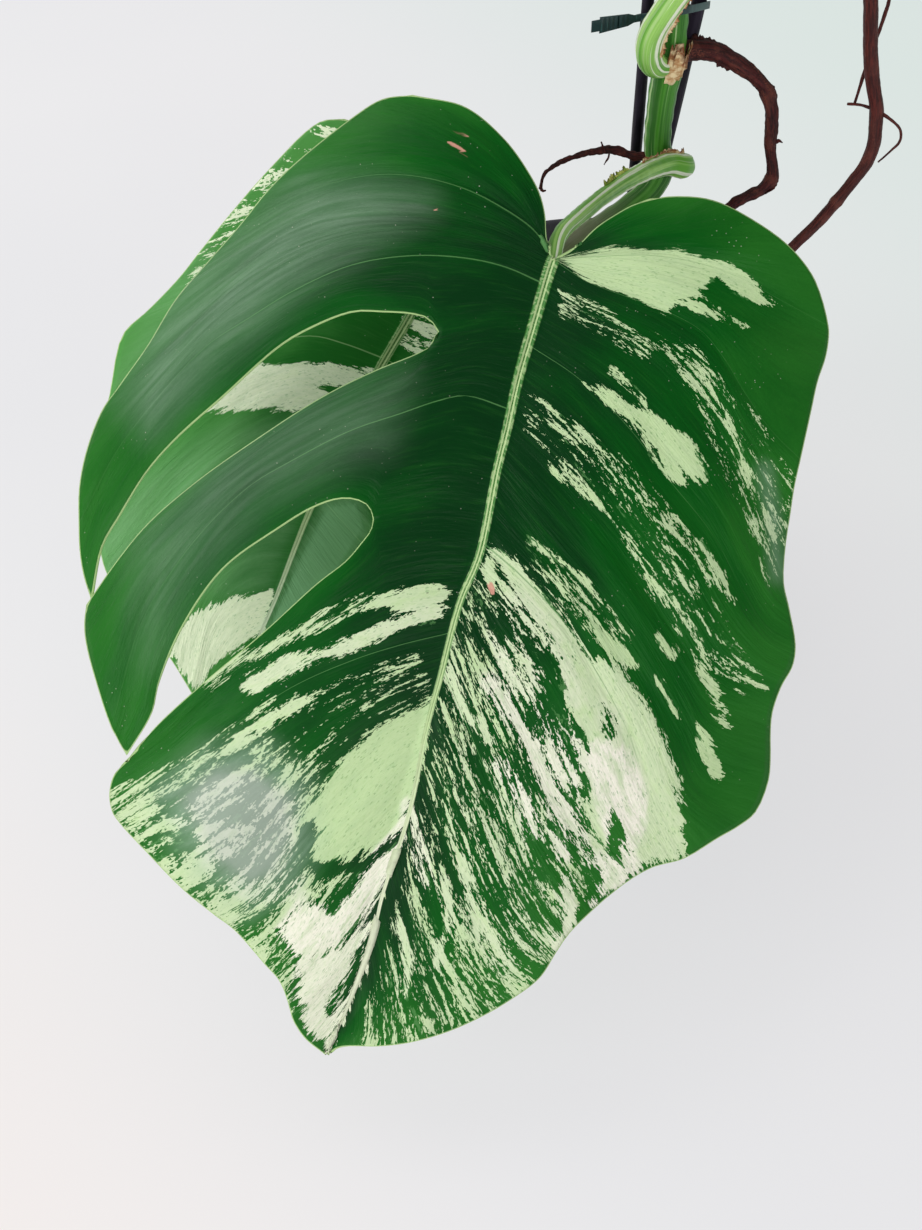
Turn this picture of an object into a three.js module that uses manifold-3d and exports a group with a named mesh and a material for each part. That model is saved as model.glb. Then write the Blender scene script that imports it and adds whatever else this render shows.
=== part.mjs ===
// A potted variegated monstera, in millimetres, with +Z up and the origin at the centre of the pot's base.
// Each piece that grew or was made by itself is one closed mesh: leaves, stalks, stem, roots, soil, pot,
// stakes and tie.
import * as THREE from 'three';
import { mergeVertices } from 'three/addons/utils/BufferGeometryUtils.js';
import Module from 'manifold-3d';

const wasm = await Module();
wasm.setup();

// Driving dimensions
const GAP = 0.3;
const BLADE_THICKNESS = 0.8;
const BLADE_A_LENGTH = 298;
const STEM_RADIUS = 5.75;
const NODE_RADIUS = 6.6;
const POT = { height: 150, rimRadius: 84, baseRadius: 62, wall: 1.8, lip: 2.6, lipHeight: 12, bead: 1.2 };
const DRAIN = { count: 8, radius: 5, ring: 42, sides: 12 };
const SOIL = { top: 130, mound: 3, lumps: 1.2 };
const STAKE_TOP = 345;
const STAKE_FOOT = 12;
// The tie's band slopes: HEIGHT is its middle at MIDDLE, RISE its climb per millimetre along X and Y
const TIE = { width: 3.2, thickness: 1.4, slack: 0.6, middle: [24, 10], height: 282.3, rise: [0.19, -0.38] };
// Its tail: a ridged paddle that ends in a small block. Heights are up and down the paddle.
const TAIL = { end: -10.2, block: -6.8, neck: 5, joint: 11.8, y: 11.2, blockHeight: 5, height: 7, depth: 2, ridges: 6 };
const ROUND_SIDES = 40;
const BAND_SIDES = 28;

// Leaf ribs: half width of the pale rib on the face, and how far it stands out on the face and on the back
const RIB = { half: 2.2, face: 0.5, back: 2.2 };
// A stalk's end: how far it runs down behind its blade, and its last radius as a share of the one before
const STALK_END = { overlap: 1.5, taper: 0.88 };
// How far the blade swells between two side veins, where they lie WIDTH steps of the sheet apart
const QUILT = { height: 2.2, width: 110 };
// Side veins that start this near the base, as a share of the midrib, fan out from the base itself
const FAN_SHARE = 0.008;
// A blade's grid: STEP is the widest step between two columns along the midrib, as a share of it, and RIM_STEP
// the widest along the margin, in steps of the sheet. ROWS run from the midrib out to the margin. The second
// row is the rib's edge, and a split's round end is at SPLIT_ROW.
const RIB_ROW = 0.03;
const SPLIT_ROW = 0.22;
const FINE_GRID = {
  step: 1 / 16,
  rimStep: 46,
  rows: [0, RIB_ROW, 0.12, SPLIT_ROW, 0.236, 0.262, 0.31, 0.4, 0.53, 0.68, 0.84, 1],
};
const WHOLE_GRID = { step: 1 / 14, rimStep: 70, rows: [0, RIB_ROW, 0.14, 0.32, 0.54, 0.78, 1] };
const PLAIN_GRID = { step: 1 / 10, rimStep: 75, rows: [0, RIB_ROW, SPLIT_ROW, 0.25, 0.33, 0.5, 0.74, 1] };

// The eye that leaves A and B are set out from: their outlines are (x, y) steps on a sheet of 922 by 1230,
// with y down, and each point lies on the line of sight through its place on that sheet.
const SIGHT = {
  eye: new THREE.Vector3(-65, -640, 529),
  pitch: THREE.MathUtils.degToRad(42),
  steps: 1555,
  centre: [461, 615],
};
const FORWARD = new THREE.Vector3(0, Math.cos(SIGHT.pitch), -Math.sin(SIGHT.pitch));
const RIGHT = new THREE.Vector3(1, 0, 0);
const UP = new THREE.Vector3(0, Math.sin(SIGHT.pitch), Math.cos(SIGHT.pitch));

// Leaf A. Each half is a row of side veins from the sinus round to the tip. RIM holds the points of the margin
// between a vein's end and the next one's. A split has a ROOT from the midrib to its round inner end.
const LEAF_A = {
  midrib: [
    [553, 260], [550, 268], [532, 330], [519, 375], [507, 429], [497, 470], [479, 557], [461, 600],
    [441, 675], [426, 733], [409, 815], [384, 891], [369, 952], [343, 1020], [326, 1055],
  ],
  left: [
    {
      vein: [[553, 260], [547, 240], [545, 215], [540, 195], [530, 175], [505, 140], [465, 107], [412, 95]],
      rim: [[382, 100], [353, 118], [294, 165], [265, 194]],
    },
    {
      vein: [[553, 260], [535, 232], [500, 207], [461, 188], [412, 176], [367, 176], [309, 191], [238, 228]],
      rim: [[206, 265], [176, 300]],
    },
    {
      vein: [[553, 260], [505, 237], [455, 222], [400, 217], [340, 222], [280, 243], [215, 290], [147, 347]],
      rim: [[118, 388], [103, 410]],
    },
    {
      vein: [
        [549, 271], [505, 252], [450, 240], [400, 236], [345, 242], [285, 267], [215, 318], [150, 385],
        [112, 426], [88, 448],
      ],
      rim: [[79, 498], [79, 542]],
    },
    {
      vein: [
        [544, 284], [507, 268], [469, 259], [412, 256], [353, 265], [294, 291], [250, 318], [206, 347],
        [150, 410], [110, 480], [84, 575],
      ],
      rim: [],
    },
    {
      root: [[535, 321], [500, 322], [438, 332]],
      upper: [
        [429, 319], [412, 314], [382, 312], [353, 312], [309, 329], [279, 347], [223, 397], [176, 439],
        [147, 472], [118, 519], [103, 545], [92, 600],
      ],
      lower: [
        [432, 345], [412, 356], [382, 368], [323, 397], [235, 454], [188, 489], [147, 525], [118, 560],
        [87, 605],
      ],
      rim: [[85, 625], [87, 645], [97, 683]],
    },
    {
      vein: [
        [511, 410], [466, 396], [438, 401], [400, 414], [353, 430], [294, 460], [250, 486], [206, 528],
        [170, 575], [141, 625], [112, 728],
      ],
      rim: [],
    },
    {
      root: [[488, 515], [440, 510], [373, 519]],
      upper: [
        [369, 507], [357, 500], [338, 499], [312, 508], [279, 528], [223, 569], [182, 628], [159, 683],
        [152, 713], [127, 755],
      ],
      lower: [
        [371, 530], [362, 542], [347, 560], [318, 583], [265, 631], [206, 681], [153, 730], [130, 758],
      ],
      rim: [],
    },
    {
      vein: [[470, 578], [420, 580], [370, 598], [320, 625], [270, 660], [210, 700], [160, 745], [115, 774]],
      rim: [[110, 792]],
    },
    {
      vein: [[452, 632], [400, 645], [353, 660], [294, 686], [235, 725], [180, 765], [113, 812]],
      rim: [[121, 824], [147, 852], [182, 888]],
    },
    {
      vein: [[430, 715], [385, 745], [335, 790], [290, 845], [250, 890], [214, 914]],
      rim: [[235, 930]],
    },
    { vein: [[410, 810], [370, 850], [330, 890], [300, 930], [265, 964]], rim: [[279, 980]] },
    { vein: [[385, 888], [355, 930], [325, 970], [288, 1002]], rim: [[293, 1020]] },
    { vein: [[362, 968], [340, 1000], [305, 1038]], rim: [] },
  ],
  right: [
    { vein: [[553, 260], [571, 251], [597, 227], [615, 215], [633, 205], [651, 199]], rim: [[668, 197]] },
    { vein: [[553, 260], [585, 243], [620, 228], [660, 215], [700, 198]], rim: [[722, 204], [749, 218]] },
    { vein: [[553, 260], [600, 250], [650, 243], [700, 240], [779, 238]], rim: [[798, 256], [815, 281]] },
    {
      vein: [[553, 260], [600, 257], [650, 256], [700, 264], [740, 278], [780, 300], [828, 326]],
      rim: [[828, 340], [825, 358], [817, 382], [811, 410]],
    },
    {
      vein: [
        [553, 260], [587, 282], [626, 297], [667, 312], [702, 332], [726, 362], [743, 391], [770, 430],
        [800, 460],
      ],
      rim: [[794, 487], [790, 513], [785, 545]],
    },
    {
      vein: [[543, 300], [580, 322], [620, 340], [660, 370], [700, 415], [735, 470], [762, 530], [783, 583]],
      rim: [[789, 610]],
    },
    {
      vein: [[529, 345], [579, 379], [626, 425], [667, 478], [711, 533], [743, 592], [768, 630], [795, 645]],
      rim: [[792, 666], [781, 686]],
    },
    {
      vein: [[508, 425], [545, 460], [590, 510], [635, 570], [675, 630], [710, 680], [772, 712]],
      rim: [[770, 733], [770, 757], [768, 780]],
    },
    {
      vein: [[495, 482], [540, 540], [590, 600], [640, 670], [675, 740], [700, 790], [755, 812]],
      rim: [[738, 826], [717, 838]],
    },
    {
      vein: [[482, 543], [520, 575], [564, 622], [593, 666], [626, 728], [648, 790], [684, 858]],
      rim: [[652, 867]],
    },
    {
      vein: [[465, 594], [490, 650], [525, 710], [555, 775], [590, 830], [629, 880]],
      rim: [[608, 896], [590, 912]],
    },
    { vein: [[443, 668], [465, 720], [490, 780], [525, 860], [570, 932]], rim: [[556, 952]] },
    { vein: [[419, 765], [440, 820], [470, 890], [511, 955], [540, 977]], rim: [[511, 999]] },
    { vein: [[400, 841], [412, 890], [440, 960], [478, 1018]], rim: [[443, 1033]] },
    { vein: [[378, 913], [390, 960], [406, 1043]], rim: [[379, 1046], [352, 1046], [338, 1048]] },
  ],
};

// Leaf B, behind leaf A and about four fifths of its size
const LEAF_B = {
  midrib: [
    [450, 240], [428, 281], [410, 316], [378, 371], [340, 445], [308, 515], [275, 600], [262, 630],
    [240, 685], [220, 735],
  ],
  left: [
    {
      vein: [[450, 240], [446, 215], [435, 185], [415, 155], [385, 132], [344, 119]],
      rim: [[323, 121], [306, 132], [282, 156]],
    },
    { vein: [[450, 240], [400, 205], [350, 190], [300, 184], [250, 191]], rim: [[206, 244]] },
    { vein: [[430, 277], [385, 254], [325, 243], [250, 256], [176, 282]], rim: [[147, 312], [123, 335]] },
    {
      vein: [[405, 324], [360, 300], [300, 292], [230, 310], [160, 350], [110, 394]],
      rim: [[101, 430]],
    },
    { vein: [[385, 359], [345, 344], [310, 336], [250, 350], [170, 400], [97, 470]], rim: [[97, 515]] },
    { vein: [[355, 415], [310, 405], [255, 420], [180, 475], [103, 562]], rim: [[112, 583], [135, 615]] },
    { vein: [[318, 494], [275, 490], [225, 515], [175, 575], [157, 643]], rim: [[168, 655]] },
    { vein: [[288, 568], [250, 572], [215, 605], [190, 690]], rim: [] },
    { vein: [[262, 630], [238, 645], [215, 675], [203, 712]], rim: [] },
  ],
  right: [
    { vein: [[450, 240], [458, 215], [475, 193], [500, 184]], rim: [] },
    { vein: [[450, 240], [480, 222], [505, 212], [533, 212]], rim: [[545, 240], [560, 280]] },
    { vein: [[437, 263], [480, 265], [530, 288], [575, 335]], rim: [[585, 375]] },
    { vein: [[412, 312], [460, 328], [520, 365], [586, 420]], rim: [[581, 465]] },
    { vein: [[385, 359], [430, 383], [500, 435], [566, 512]], rim: [[552, 545]] },
    { vein: [[355, 415], [400, 450], [460, 510], [528, 582]], rim: [[500, 617]] },
    { vein: [[318, 494], [350, 530], [400, 585], [462, 655]], rim: [[425, 685]] },
    { vein: [[288, 568], [310, 605], [345, 655], [380, 712]], rim: [[340, 731]] },
    { vein: [[262, 630], [270, 665], [283, 705], [290, 742]], rim: [[254, 742]] },
  ],
};

// How each blade bends, in millimetres: ARCH lifts the midrib's middle, FOLD and CURL shape each half as a
// rise beside the midrib and a fall towards the margin, TILT sinks the tip, WAVES and WAVE ripple the margin,
// and LOBES sinks the two lobes beside the sinus.
const BEND_A = { depth: 560, arch: 18, fold: 0.22, curl: 0.0034, tilt: 0, wave: 2.5, waves: 6, lobes: 0.0035 };
const BEND_B = { depth: 632, arch: 8, fold: 0.16, curl: 0.0022, tilt: 0.1, wave: 1.5, waves: 4, lobes: 0.0016 };
const BEND_C = { depth: 0, arch: 16, fold: 0.18, curl: 0.003, tilt: 0.12, wave: 3, waves: 5, lobes: 0.002 };
const BEND_D = { depth: 0, arch: 20, fold: 0.22, curl: 0.0028, tilt: 0.1, wave: 3.5, waves: 6, lobes: 0.002 };

// Leaves C and D grow above the first two: BASE is where the stalk meets the blade, MIDRIB the way it points
// and FACE the way its upper side looks. SIZE is the share of leaf A.
const PLACE_C = { base: [130, -10, 450], midrib: [0.8, 0.1, -0.6], face: [0.58, -0.2, 0.79], size: 0.85, hand: -1 };
const PLACE_D = { base: [-40, 80, 500], midrib: [-0.55, 0.6, -0.58], face: [-0.4, 0.42, 0.815], size: 0.95, hand: 1 };

// The stem, from its foot in the soil to its tip. Its nodes are where leaves and roots leave it.
const STEM_PATH = [
  [-25, -5, 96], [-25, -5, 130], [-27, -9, 152], [-25, -13, 172], [-16.4, -14.2, 187], [-3.3, -10.7, 197],
  [9.6, -7.8, 205], [19.5, -5, 212], [22, -1.5, 219], [20.5, 0, 228], [20.5, 0, 245], [22, 0, 265],
  [22.5, 0, 288], [22, 0, 310], [22, 1, 324], [22, 2, 334],
];
const STEM_RADII = [5, 5.6, 5.8, NODE_RADIUS, 5.9, 5.6, 5.6, 6, NODE_RADIUS, 5.9, STEM_RADIUS, NODE_RADIUS,
  STEM_RADIUS, NODE_RADIUS, 5.4, 4.6];

// The stalks, each from inside the stem to just behind its blade
const PETIOLE_A = {
  path: [
    [22, -2, 218], [28, 1.5, 218.5], [32, -4, 220.5], [29, -11.5, 224], [24.4, -14.5, 226.2], [15, -27.7, 230.4],
    [-3, -61, 238.4], [-20.5, -99, 245.5], [-29.5, -124, 249.5],
  ],
  radii: [5, 5.2, 5.2, 5, 4.9, 4.6, 4.1, 3.7, 3.4],
};
const PETIOLE_B = {
  path: [[-25, -13, 170], [-31, -18, 183], [-42, -30, 200], [-55, -46, 210.5], [-64, -57, 213]],
  radii: [4.6, 4.4, 3.8, 3.3, 2.9],
};
const PETIOLE_C = {
  path: [
    [22, 0, 264], [15.5, -6, 266.5], [12, -11, 274], [12.9, -12, 282], [19.2, -16, 296.5], [36, -22, 325],
    [72, -24, 385], [108, -17, 434],
  ],
  radii: [5.2, 5.4, 5.4, 5.4, 5.3, 4.9, 4.2, 3.7],
};
const PETIOLE_D = {
  path: [[22, 0, 309], [13, -3, 314], [7, -1, 326], [2, 8, 350], [-10, 30, 410], [-28, 60, 468]],
  radii: [5, 5.2, 5, 4.7, 4.2, 3.7],
};

// The aerial roots, each from inside the stem
const ROOT_1 = {
  path: [[19, 0, 222.5], [10, -1.5, 223.8], [1.7, -0.6, 226.1], [-15.3, -8, 226.8], [-28.5, -16.4, 223.5],
    [-31, -20.7, 218]],
  radii: [1.8, 1.8, 1.9, 1.2, 0.9, 0.6],
};
const ROOT_2 = {
  path: [
    [24, 1, 267.5], [31, 2.9, 268.8], [41.8, 4, 267.4], [52.7, 2.6, 262.5], [63, 0.9, 254.6], [68.6, -0.5, 244.2],
    [71.1, -2.5, 227], [72, -5, 215.5], [68, -6.1, 211], [54, -8, 202.9], [44, -11, 185], [38, -14, 152],
    [36, -16, 128], [36, -16, 116],
  ],
  radii: [4.4, 4.3, 4, 3.5, 3.1, 2.9, 2.8, 2.9, 2.6, 2.4, 2.3, 2.2, 2, 1.8],
};
const ROOT_3 = {
  path: [
    [24, 0.5, 310], [34, 1, 313], [60, 2, 326], [86, 1.5, 322], [99, 0.5, 308], [102.5, 0, 290], [108, 2.3, 262],
    [113, 1, 244.4], [114.3, -0.8, 230.3], [112.5, -2.3, 221], [107, -4.4, 212.9], [95.2, -6.4, 195.7],
    [83.5, -8.2, 181.8], [67, -11, 160], [57, -13, 140], [53, -14, 126], [53, -14, 114],
  ],
  radii: [3.6, 3.6, 3.4, 3.2, 3.1, 3.1, 3.1, 3, 2.9, 2.8, 2.6, 2.5, 2.3, 2.2, 2.1, 2, 1.8],
};
const ROOTLETS = [
  { path: [[103, 0, 306], [108, 5, 300], [112, 8, 290], [109, 9, 266], [106.5, 8, 252], [105, 7, 243.5]],
    radii: [0.9, 0.9, 0.9, 0.8, 0.7, 0.5] },
  { path: [[101, 3, 245.3], [107, 3, 244.8], [113, 2, 243], [119, -1, 240.5], [124.3, -2, 236], [125, -2.5, 231],
    [121.5, -3, 226.5], [117, -3.5, 222]],
    radii: [0.5, 0.6, 0.8, 0.7, 0.6, 0.6, 0.5, 0.45] },
];

// The rolled young leaf at the stem's tip
const NEW_LEAF = {
  path: [[22, 2.15, 335.2], [22.3, 2.4, 345], [23.5, 3.6, 372], [25, 5.5, 405], [27, 8, 440]],
  radii: [4.2, 4.9, 4.4, 2.8, 0.7],
};

// The stakes lean a little: FOOT is a point of the axis at the soil, RUN the sideways run per millimetre up
const STAKE_LEFT = { foot: [13.2, 15, SOIL.top], run: [0, 0], radius: 2.6 };
const STAKE_RIGHT = { foot: [11.8, 5.6, SOIL.top], run: [0.143, 0.041], radius: 3.2 };

const v3 = (p) => new THREE.Vector3(...p);

// A point seen at (x, y) on the sheet, DEPTH in front of the eye
function seen([x, y], depth) {
  const across = (x - SIGHT.centre[0]) / SIGHT.steps;
  const above = (SIGHT.centre[1] - y) / SIGHT.steps;
  return SIGHT.eye.clone()
    .addScaledVector(FORWARD, depth)
    .addScaledVector(RIGHT, depth * across)
    .addScaledVector(UP, depth * above);
}

// A smooth flat curve through points of the sheet
function sheetCurve(points) {
  return new THREE.CatmullRomCurve3(points.map(([x, y]) => new THREE.Vector3(x, y, 0)), false, 'centripetal');
}

// The place on a half's ray at row V, with the first millimetres kept for the rib
function rayPoint(ray, edge, v, rib) {
  const ribEnd = Math.min(rib, 0.3 * ray.root.getLength());
  const rootLength = ray.root.getLength();
  if (v <= RIB_ROW) return ray.root.getPointAt((v / RIB_ROW) * (ribEnd / rootLength));
  const rootRow = ray.split ? SPLIT_ROW : 1;
  if (v <= rootRow) {
    const share = (v - RIB_ROW) / (rootRow - RIB_ROW);
    return ray.root.getPointAt(THREE.MathUtils.lerp(ribEnd / rootLength, 1, share));
  }
  return ray[edge].getPointAt((v - SPLIT_ROW) / (1 - SPLIT_ROW));
}

// The nearest place on the midrib to a ray's start, as a share of its length
function stationOf(midrib, [x, y]) {
  const samples = 600;
  let best = 0;
  let nearest = Infinity;
  for (let i = 0; i <= samples; i += 1) {
    const p = midrib.getPointAt(i / samples);
    const distance = Math.hypot(p.x - x, p.y - y);
    if (distance < nearest) {
      nearest = distance;
      best = i / samples;
    }
  }
  return best < FAN_SHARE ? 0 : best;
}

// The length of a line through points of the sheet
function pathLength(points) {
  return points.slice(1).reduce((sum, [x, y], i) => sum + Math.hypot(x - points[i][0], y - points[i][1]), 0);
}

// A half's veins and splits as curves, with the runs of margin between them
function raysOf(half, midrib) {
  const rays = half.map((entry) => {
    const [start, ...path] = entry.vein ?? entry.root;
    const station = stationOf(midrib, start);
    const foot = midrib.getPointAt(station);
    const root = sheetCurve([[foot.x, foot.y], ...path]);
    if (entry.vein) return { split: false, root, station };
    const inner = path.at(-1);
    return {
      split: true,
      root,
      upper: sheetCurve([inner, ...entry.upper]),
      lower: sheetCurve([inner, ...entry.lower]),
      station,
    };
  });
  const tip = midrib.getPointAt(1);
  let run = null;
  half.forEach((entry, i) => {
    if (!run) run = { points: [entry.vein ? entry.vein.at(-1) : entry.lower.at(-1)], panels: [] };
    const from = run.points.length - 1;
    const next = half[i + 1];
    const end = next ? (next.vein ?? next.upper).at(-1) : [tip.x, tip.y];
    run.points.push(...entry.rim, end);
    run.panels.push({ ray: rays[i], from, to: run.points.length - 1 });
    if (!next || !next.vein) {
      const { points } = run;
      const curve = sheetCurve(points);
      const last = points.length - 1;
      run.panels.forEach(({ ray, from: k0, to: k1 }) => {
        ray.rim = (u) => curve.getPoint((k0 + (k1 - k0) * u) / last);
        ray.rimLength = pathLength(points.slice(k0, k1 + 1));
      });
      run = null;
    }
  });
  return rays;
}

// Where the columns of both halves meet the midrib, close enough together for the grid
function stationsOf(halves, grid) {
  const stations = new Set([0, 1]);
  halves.flat().forEach((ray) => stations.add(ray.station));
  halves.forEach((rays) => rays.forEach((ray, i) => {
    const [m0, m1] = [ray.station, rays[i + 1]?.station ?? 1];
    const inside = [...stations].filter((m) => m > m0 && m < m1).length + 1;
    const wanted = Math.ceil(ray.rimLength / grid.rimStep);
    if (m1 === m0 || inside >= wanted) return;
    for (let k = 1; k < wanted; k += 1) stations.add(m0 + ((m1 - m0) * k) / wanted);
  }));
  const sorted = [...stations].sort((a, b) => a - b);
  return sorted.slice(1).flatMap((end, i) => {
    const pieces = Math.ceil((end - sorted[i]) / grid.step);
    return Array.from({ length: pieces }, (_, k) => sorted[i] + ((end - sorted[i]) * k) / pieces);
  });
}

// One half's columns of points, from the sinus to the tip. A column with JOINED false starts a new strip.
function halfColumns(rays, midrib, stations, grid) {
  const tip = midrib.getPointAt(1);
  const columns = [];
  const wholeRim = rays.reduce((sum, ray) => sum + ray.rimLength, 0);
  let rimBefore = 0;
  rays.forEach((ray, i) => {
    const next = rays[i + 1];
    const m0 = ray.station;
    const m1 = next ? next.station : 1;
    const fan = Math.ceil(ray.rimLength / grid.rimStep);
    const marks = m1 === m0
      ? Array.from({ length: fan - 1 }, (_, k) => (k + 1) / fan)
      : stations.filter((m) => m > m0 && m < m1).map((m) => (m - m0) / (m1 - m0));
    [0, ...marks, 1].forEach((u) => {
      const m = m0 + (m1 - m0) * u;
      const rib = RIB.half * (1 - 0.75 * m) * LEAF_SCALE;
      const bottom = midrib.getPointAt(m);
      const top = ray.rim(u);
      const cornerBottom = [midrib.getPointAt(m0), midrib.getPointAt(m1)];
      const cornerTop = [ray.rim(0), ray.rim(1)];
      const points = grid.rows.map((v) => {
        const left = rayPoint(ray, 'lower', v, rib);
        const right = next ? rayPoint(next, 'upper', v, rib) : tip;
        const point = new THREE.Vector3()
          .addScaledVector(bottom, 1 - v)
          .addScaledVector(top, v)
          .addScaledVector(left, 1 - u)
          .addScaledVector(right, u)
          .addScaledVector(cornerBottom[0], -(1 - u) * (1 - v))
          .addScaledVector(cornerBottom[1], -u * (1 - v))
          .addScaledVector(cornerTop[0], -(1 - u) * v)
          .addScaledVector(cornerTop[1], -u * v);
        const swell = 4 * u * (1 - u) * Math.min(1, left.distanceTo(right) / QUILT.width) ** 2;
        return { x: point.x, y: point.y, v, m, swell, turn: (rimBefore + u * ray.rimLength) / wholeRim };
      });
      columns.push({ points, joined: u > 0 });
    });
    rimBefore += ray.rimLength;
  });
  return columns;
}

// Steps on the sheet per millimetre of leaf A
const LEAF_SCALE = Math.hypot(553 - 326, 260 - 1055) / BLADE_A_LENGTH;

// The way to halve a four-sided cell that keeps its narrower triangle widest on the sheet
function halved(corners, points) {
  const area = ([a, b, c]) => {
    const [p, q, r] = [points[a], points[b], points[c]];
    return (r.x - p.x) * (q.y - p.y) - (q.x - p.x) * (r.y - p.y);
  };
  const [a, b, c, d] = corners;
  const ways = [[[a, b, c], [a, c, d]], [[b, c, d], [b, d, a]]];
  const narrowest = ways.map((pair) => Math.min(...pair.map(area)));
  return narrowest[0] >= narrowest[1] ? ways[0] : ways[1];
}

// A blade as a sheet of triangles: points with their place in the leaf, and the triangles facing the eye
function bladeSheet(leaf, place, grid) {
  const midrib = sheetCurve(leaf.midrib);
  const halves = [raysOf(leaf.left, midrib), raysOf(leaf.right, midrib)];
  const stations = stationsOf(halves, grid);
  const points = [];
  const triangles = [];
  const known = new Map();
  const indexOf = (sample, side) => {
    const spot = place(sample, side);
    const key = [spot.x, spot.y, spot.z].map((value) => value.toFixed(2)).join();
    if (!known.has(key)) {
      known.set(key, points.length);
      points.push({ ...sample, spot });
    }
    return known.get(key);
  };
  halves.forEach((rays, side) => {
    const columns = halfColumns(rays, midrib, stations, grid);
    const indices = columns.map((column) => column.points.map((sample) => indexOf(sample, side)));
    for (let c = 1; c < columns.length; c += 1) {
      if (!columns[c].joined) continue;
      for (let r = 1; r < grid.rows.length; r += 1) {
        const quad = [indices[c - 1][r - 1], indices[c][r - 1], indices[c][r], indices[c - 1][r]];
        if (side === 0) quad.reverse();
        triangles.push(...halved(quad, points).filter((triangle) => new Set(triangle).size === 3));
      }
    }
  });
  return { points, triangles };
}

// The blade with its thickness: the same triangles on both sides, stitched round the margin and the splits
function bladeGeometry({ points, triangles }) {
  const count = points.length;
  const middle = new THREE.BufferGeometry();
  middle.setAttribute('position', new THREE.Float32BufferAttribute(points.flatMap((p) => p.spot.toArray()), 3));
  middle.setIndex(triangles.flat());
  middle.computeVertexNormals();
  const normals = middle.getAttribute('normal');
  const positions = [];
  [1, -1].forEach((side) => {
    points.forEach((p, i) => {
      const onRib = p.v === 0 ? 1 - 0.8 * p.m : 0;
      const atBase = THREE.MathUtils.smoothstep(p.m, 0, 0.04);
      const rib = onRib * (side > 0 ? RIB.face : RIB.back * atBase);
      const normal = new THREE.Vector3().fromBufferAttribute(normals, i);
      positions.push(...p.spot.clone().addScaledVector(normal, side * (BLADE_THICKNESS / 2 + rib)).toArray());
    });
  });
  const index = [];
  const edges = new Map();
  triangles.forEach(([a, b, c]) => {
    index.push(a, b, c, c + count, b + count, a + count);
    [[a, b], [b, c], [c, a]].forEach(([from, to]) => {
      if (edges.has(`${to},${from}`)) edges.delete(`${to},${from}`);
      else edges.set(`${from},${to}`, [from, to]);
    });
  });
  edges.forEach(([from, to]) => {
    index.push(from, from + count, to + count, from, to + count, to);
  });
  const geometry = new THREE.BufferGeometry();
  geometry.setAttribute('position', new THREE.Float32BufferAttribute(positions, 3));
  geometry.setIndex(index);
  return geometry;
}

// How far a point of the blade lies behind the flat sheet. ALONG and ACROSS are millimetres from the base.
function bendDepth(bend, along, across, length, sample) {
  const rise = -bend.arch * Math.sin((Math.PI * THREE.MathUtils.clamp(along, 0, length)) / length);
  const wing = Math.abs(across);
  const half = -bend.fold * wing + bend.curl * wing * wing;
  const lobe = along < 0 ? bend.lobes * along * along : 0;
  const ripple = bend.wave * sample.v ** 3 * Math.sin(2 * Math.PI * bend.waves * sample.turn);
  const swell = -QUILT.height * sample.swell * 4 * sample.v * (1 - sample.v);
  return rise + half + lobe + bend.tilt * along + ripple + swell;
}

// Leaves A and B stand on lines of sight
function sightPlace(leaf, bend) {
  const [bx, by] = leaf.midrib[0];
  const [tx, ty] = leaf.midrib.at(-1);
  const steps = Math.hypot(tx - bx, ty - by);
  const [mx, my] = [(tx - bx) / steps, (ty - by) / steps];
  const unit = bend.depth / SIGHT.steps;
  return (sample) => {
    const along = ((sample.x - bx) * mx + (sample.y - by) * my) * unit;
    const across = ((sample.x - bx) * -my + (sample.y - by) * mx) * unit;
    const depth = bend.depth + bendDepth(bend, along, across, steps * unit, sample);
    return seen([sample.x, sample.y], depth);
  };
}

// Leaves C and D use leaf A's outline, on a sheet of their own that is turned and moved to its place
function freePlace(leaf, bend, place) {
  const [bx, by] = leaf.midrib[0];
  const [tx, ty] = leaf.midrib.at(-1);
  const steps = Math.hypot(tx - bx, ty - by);
  const [mx, my] = [(tx - bx) / steps, (ty - by) / steps];
  const unit = place.size / LEAF_SCALE;
  const down = v3(place.midrib).normalize();
  const face = v3(place.face).addScaledVector(down, -down.dot(v3(place.face))).normalize();
  const side = new THREE.Vector3().crossVectors(face, down).multiplyScalar(place.hand);
  return (sample) => {
    const along = ((sample.x - bx) * mx + (sample.y - by) * my) * unit;
    const across = ((sample.x - bx) * my - (sample.y - by) * mx) * unit;
    const depth = bendDepth(bend, along, across, steps * unit, sample);
    return v3(place.base)
      .addScaledVector(down, along)
      .addScaledVector(side, across)
      .addScaledVector(face, -depth);
  };
}

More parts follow.
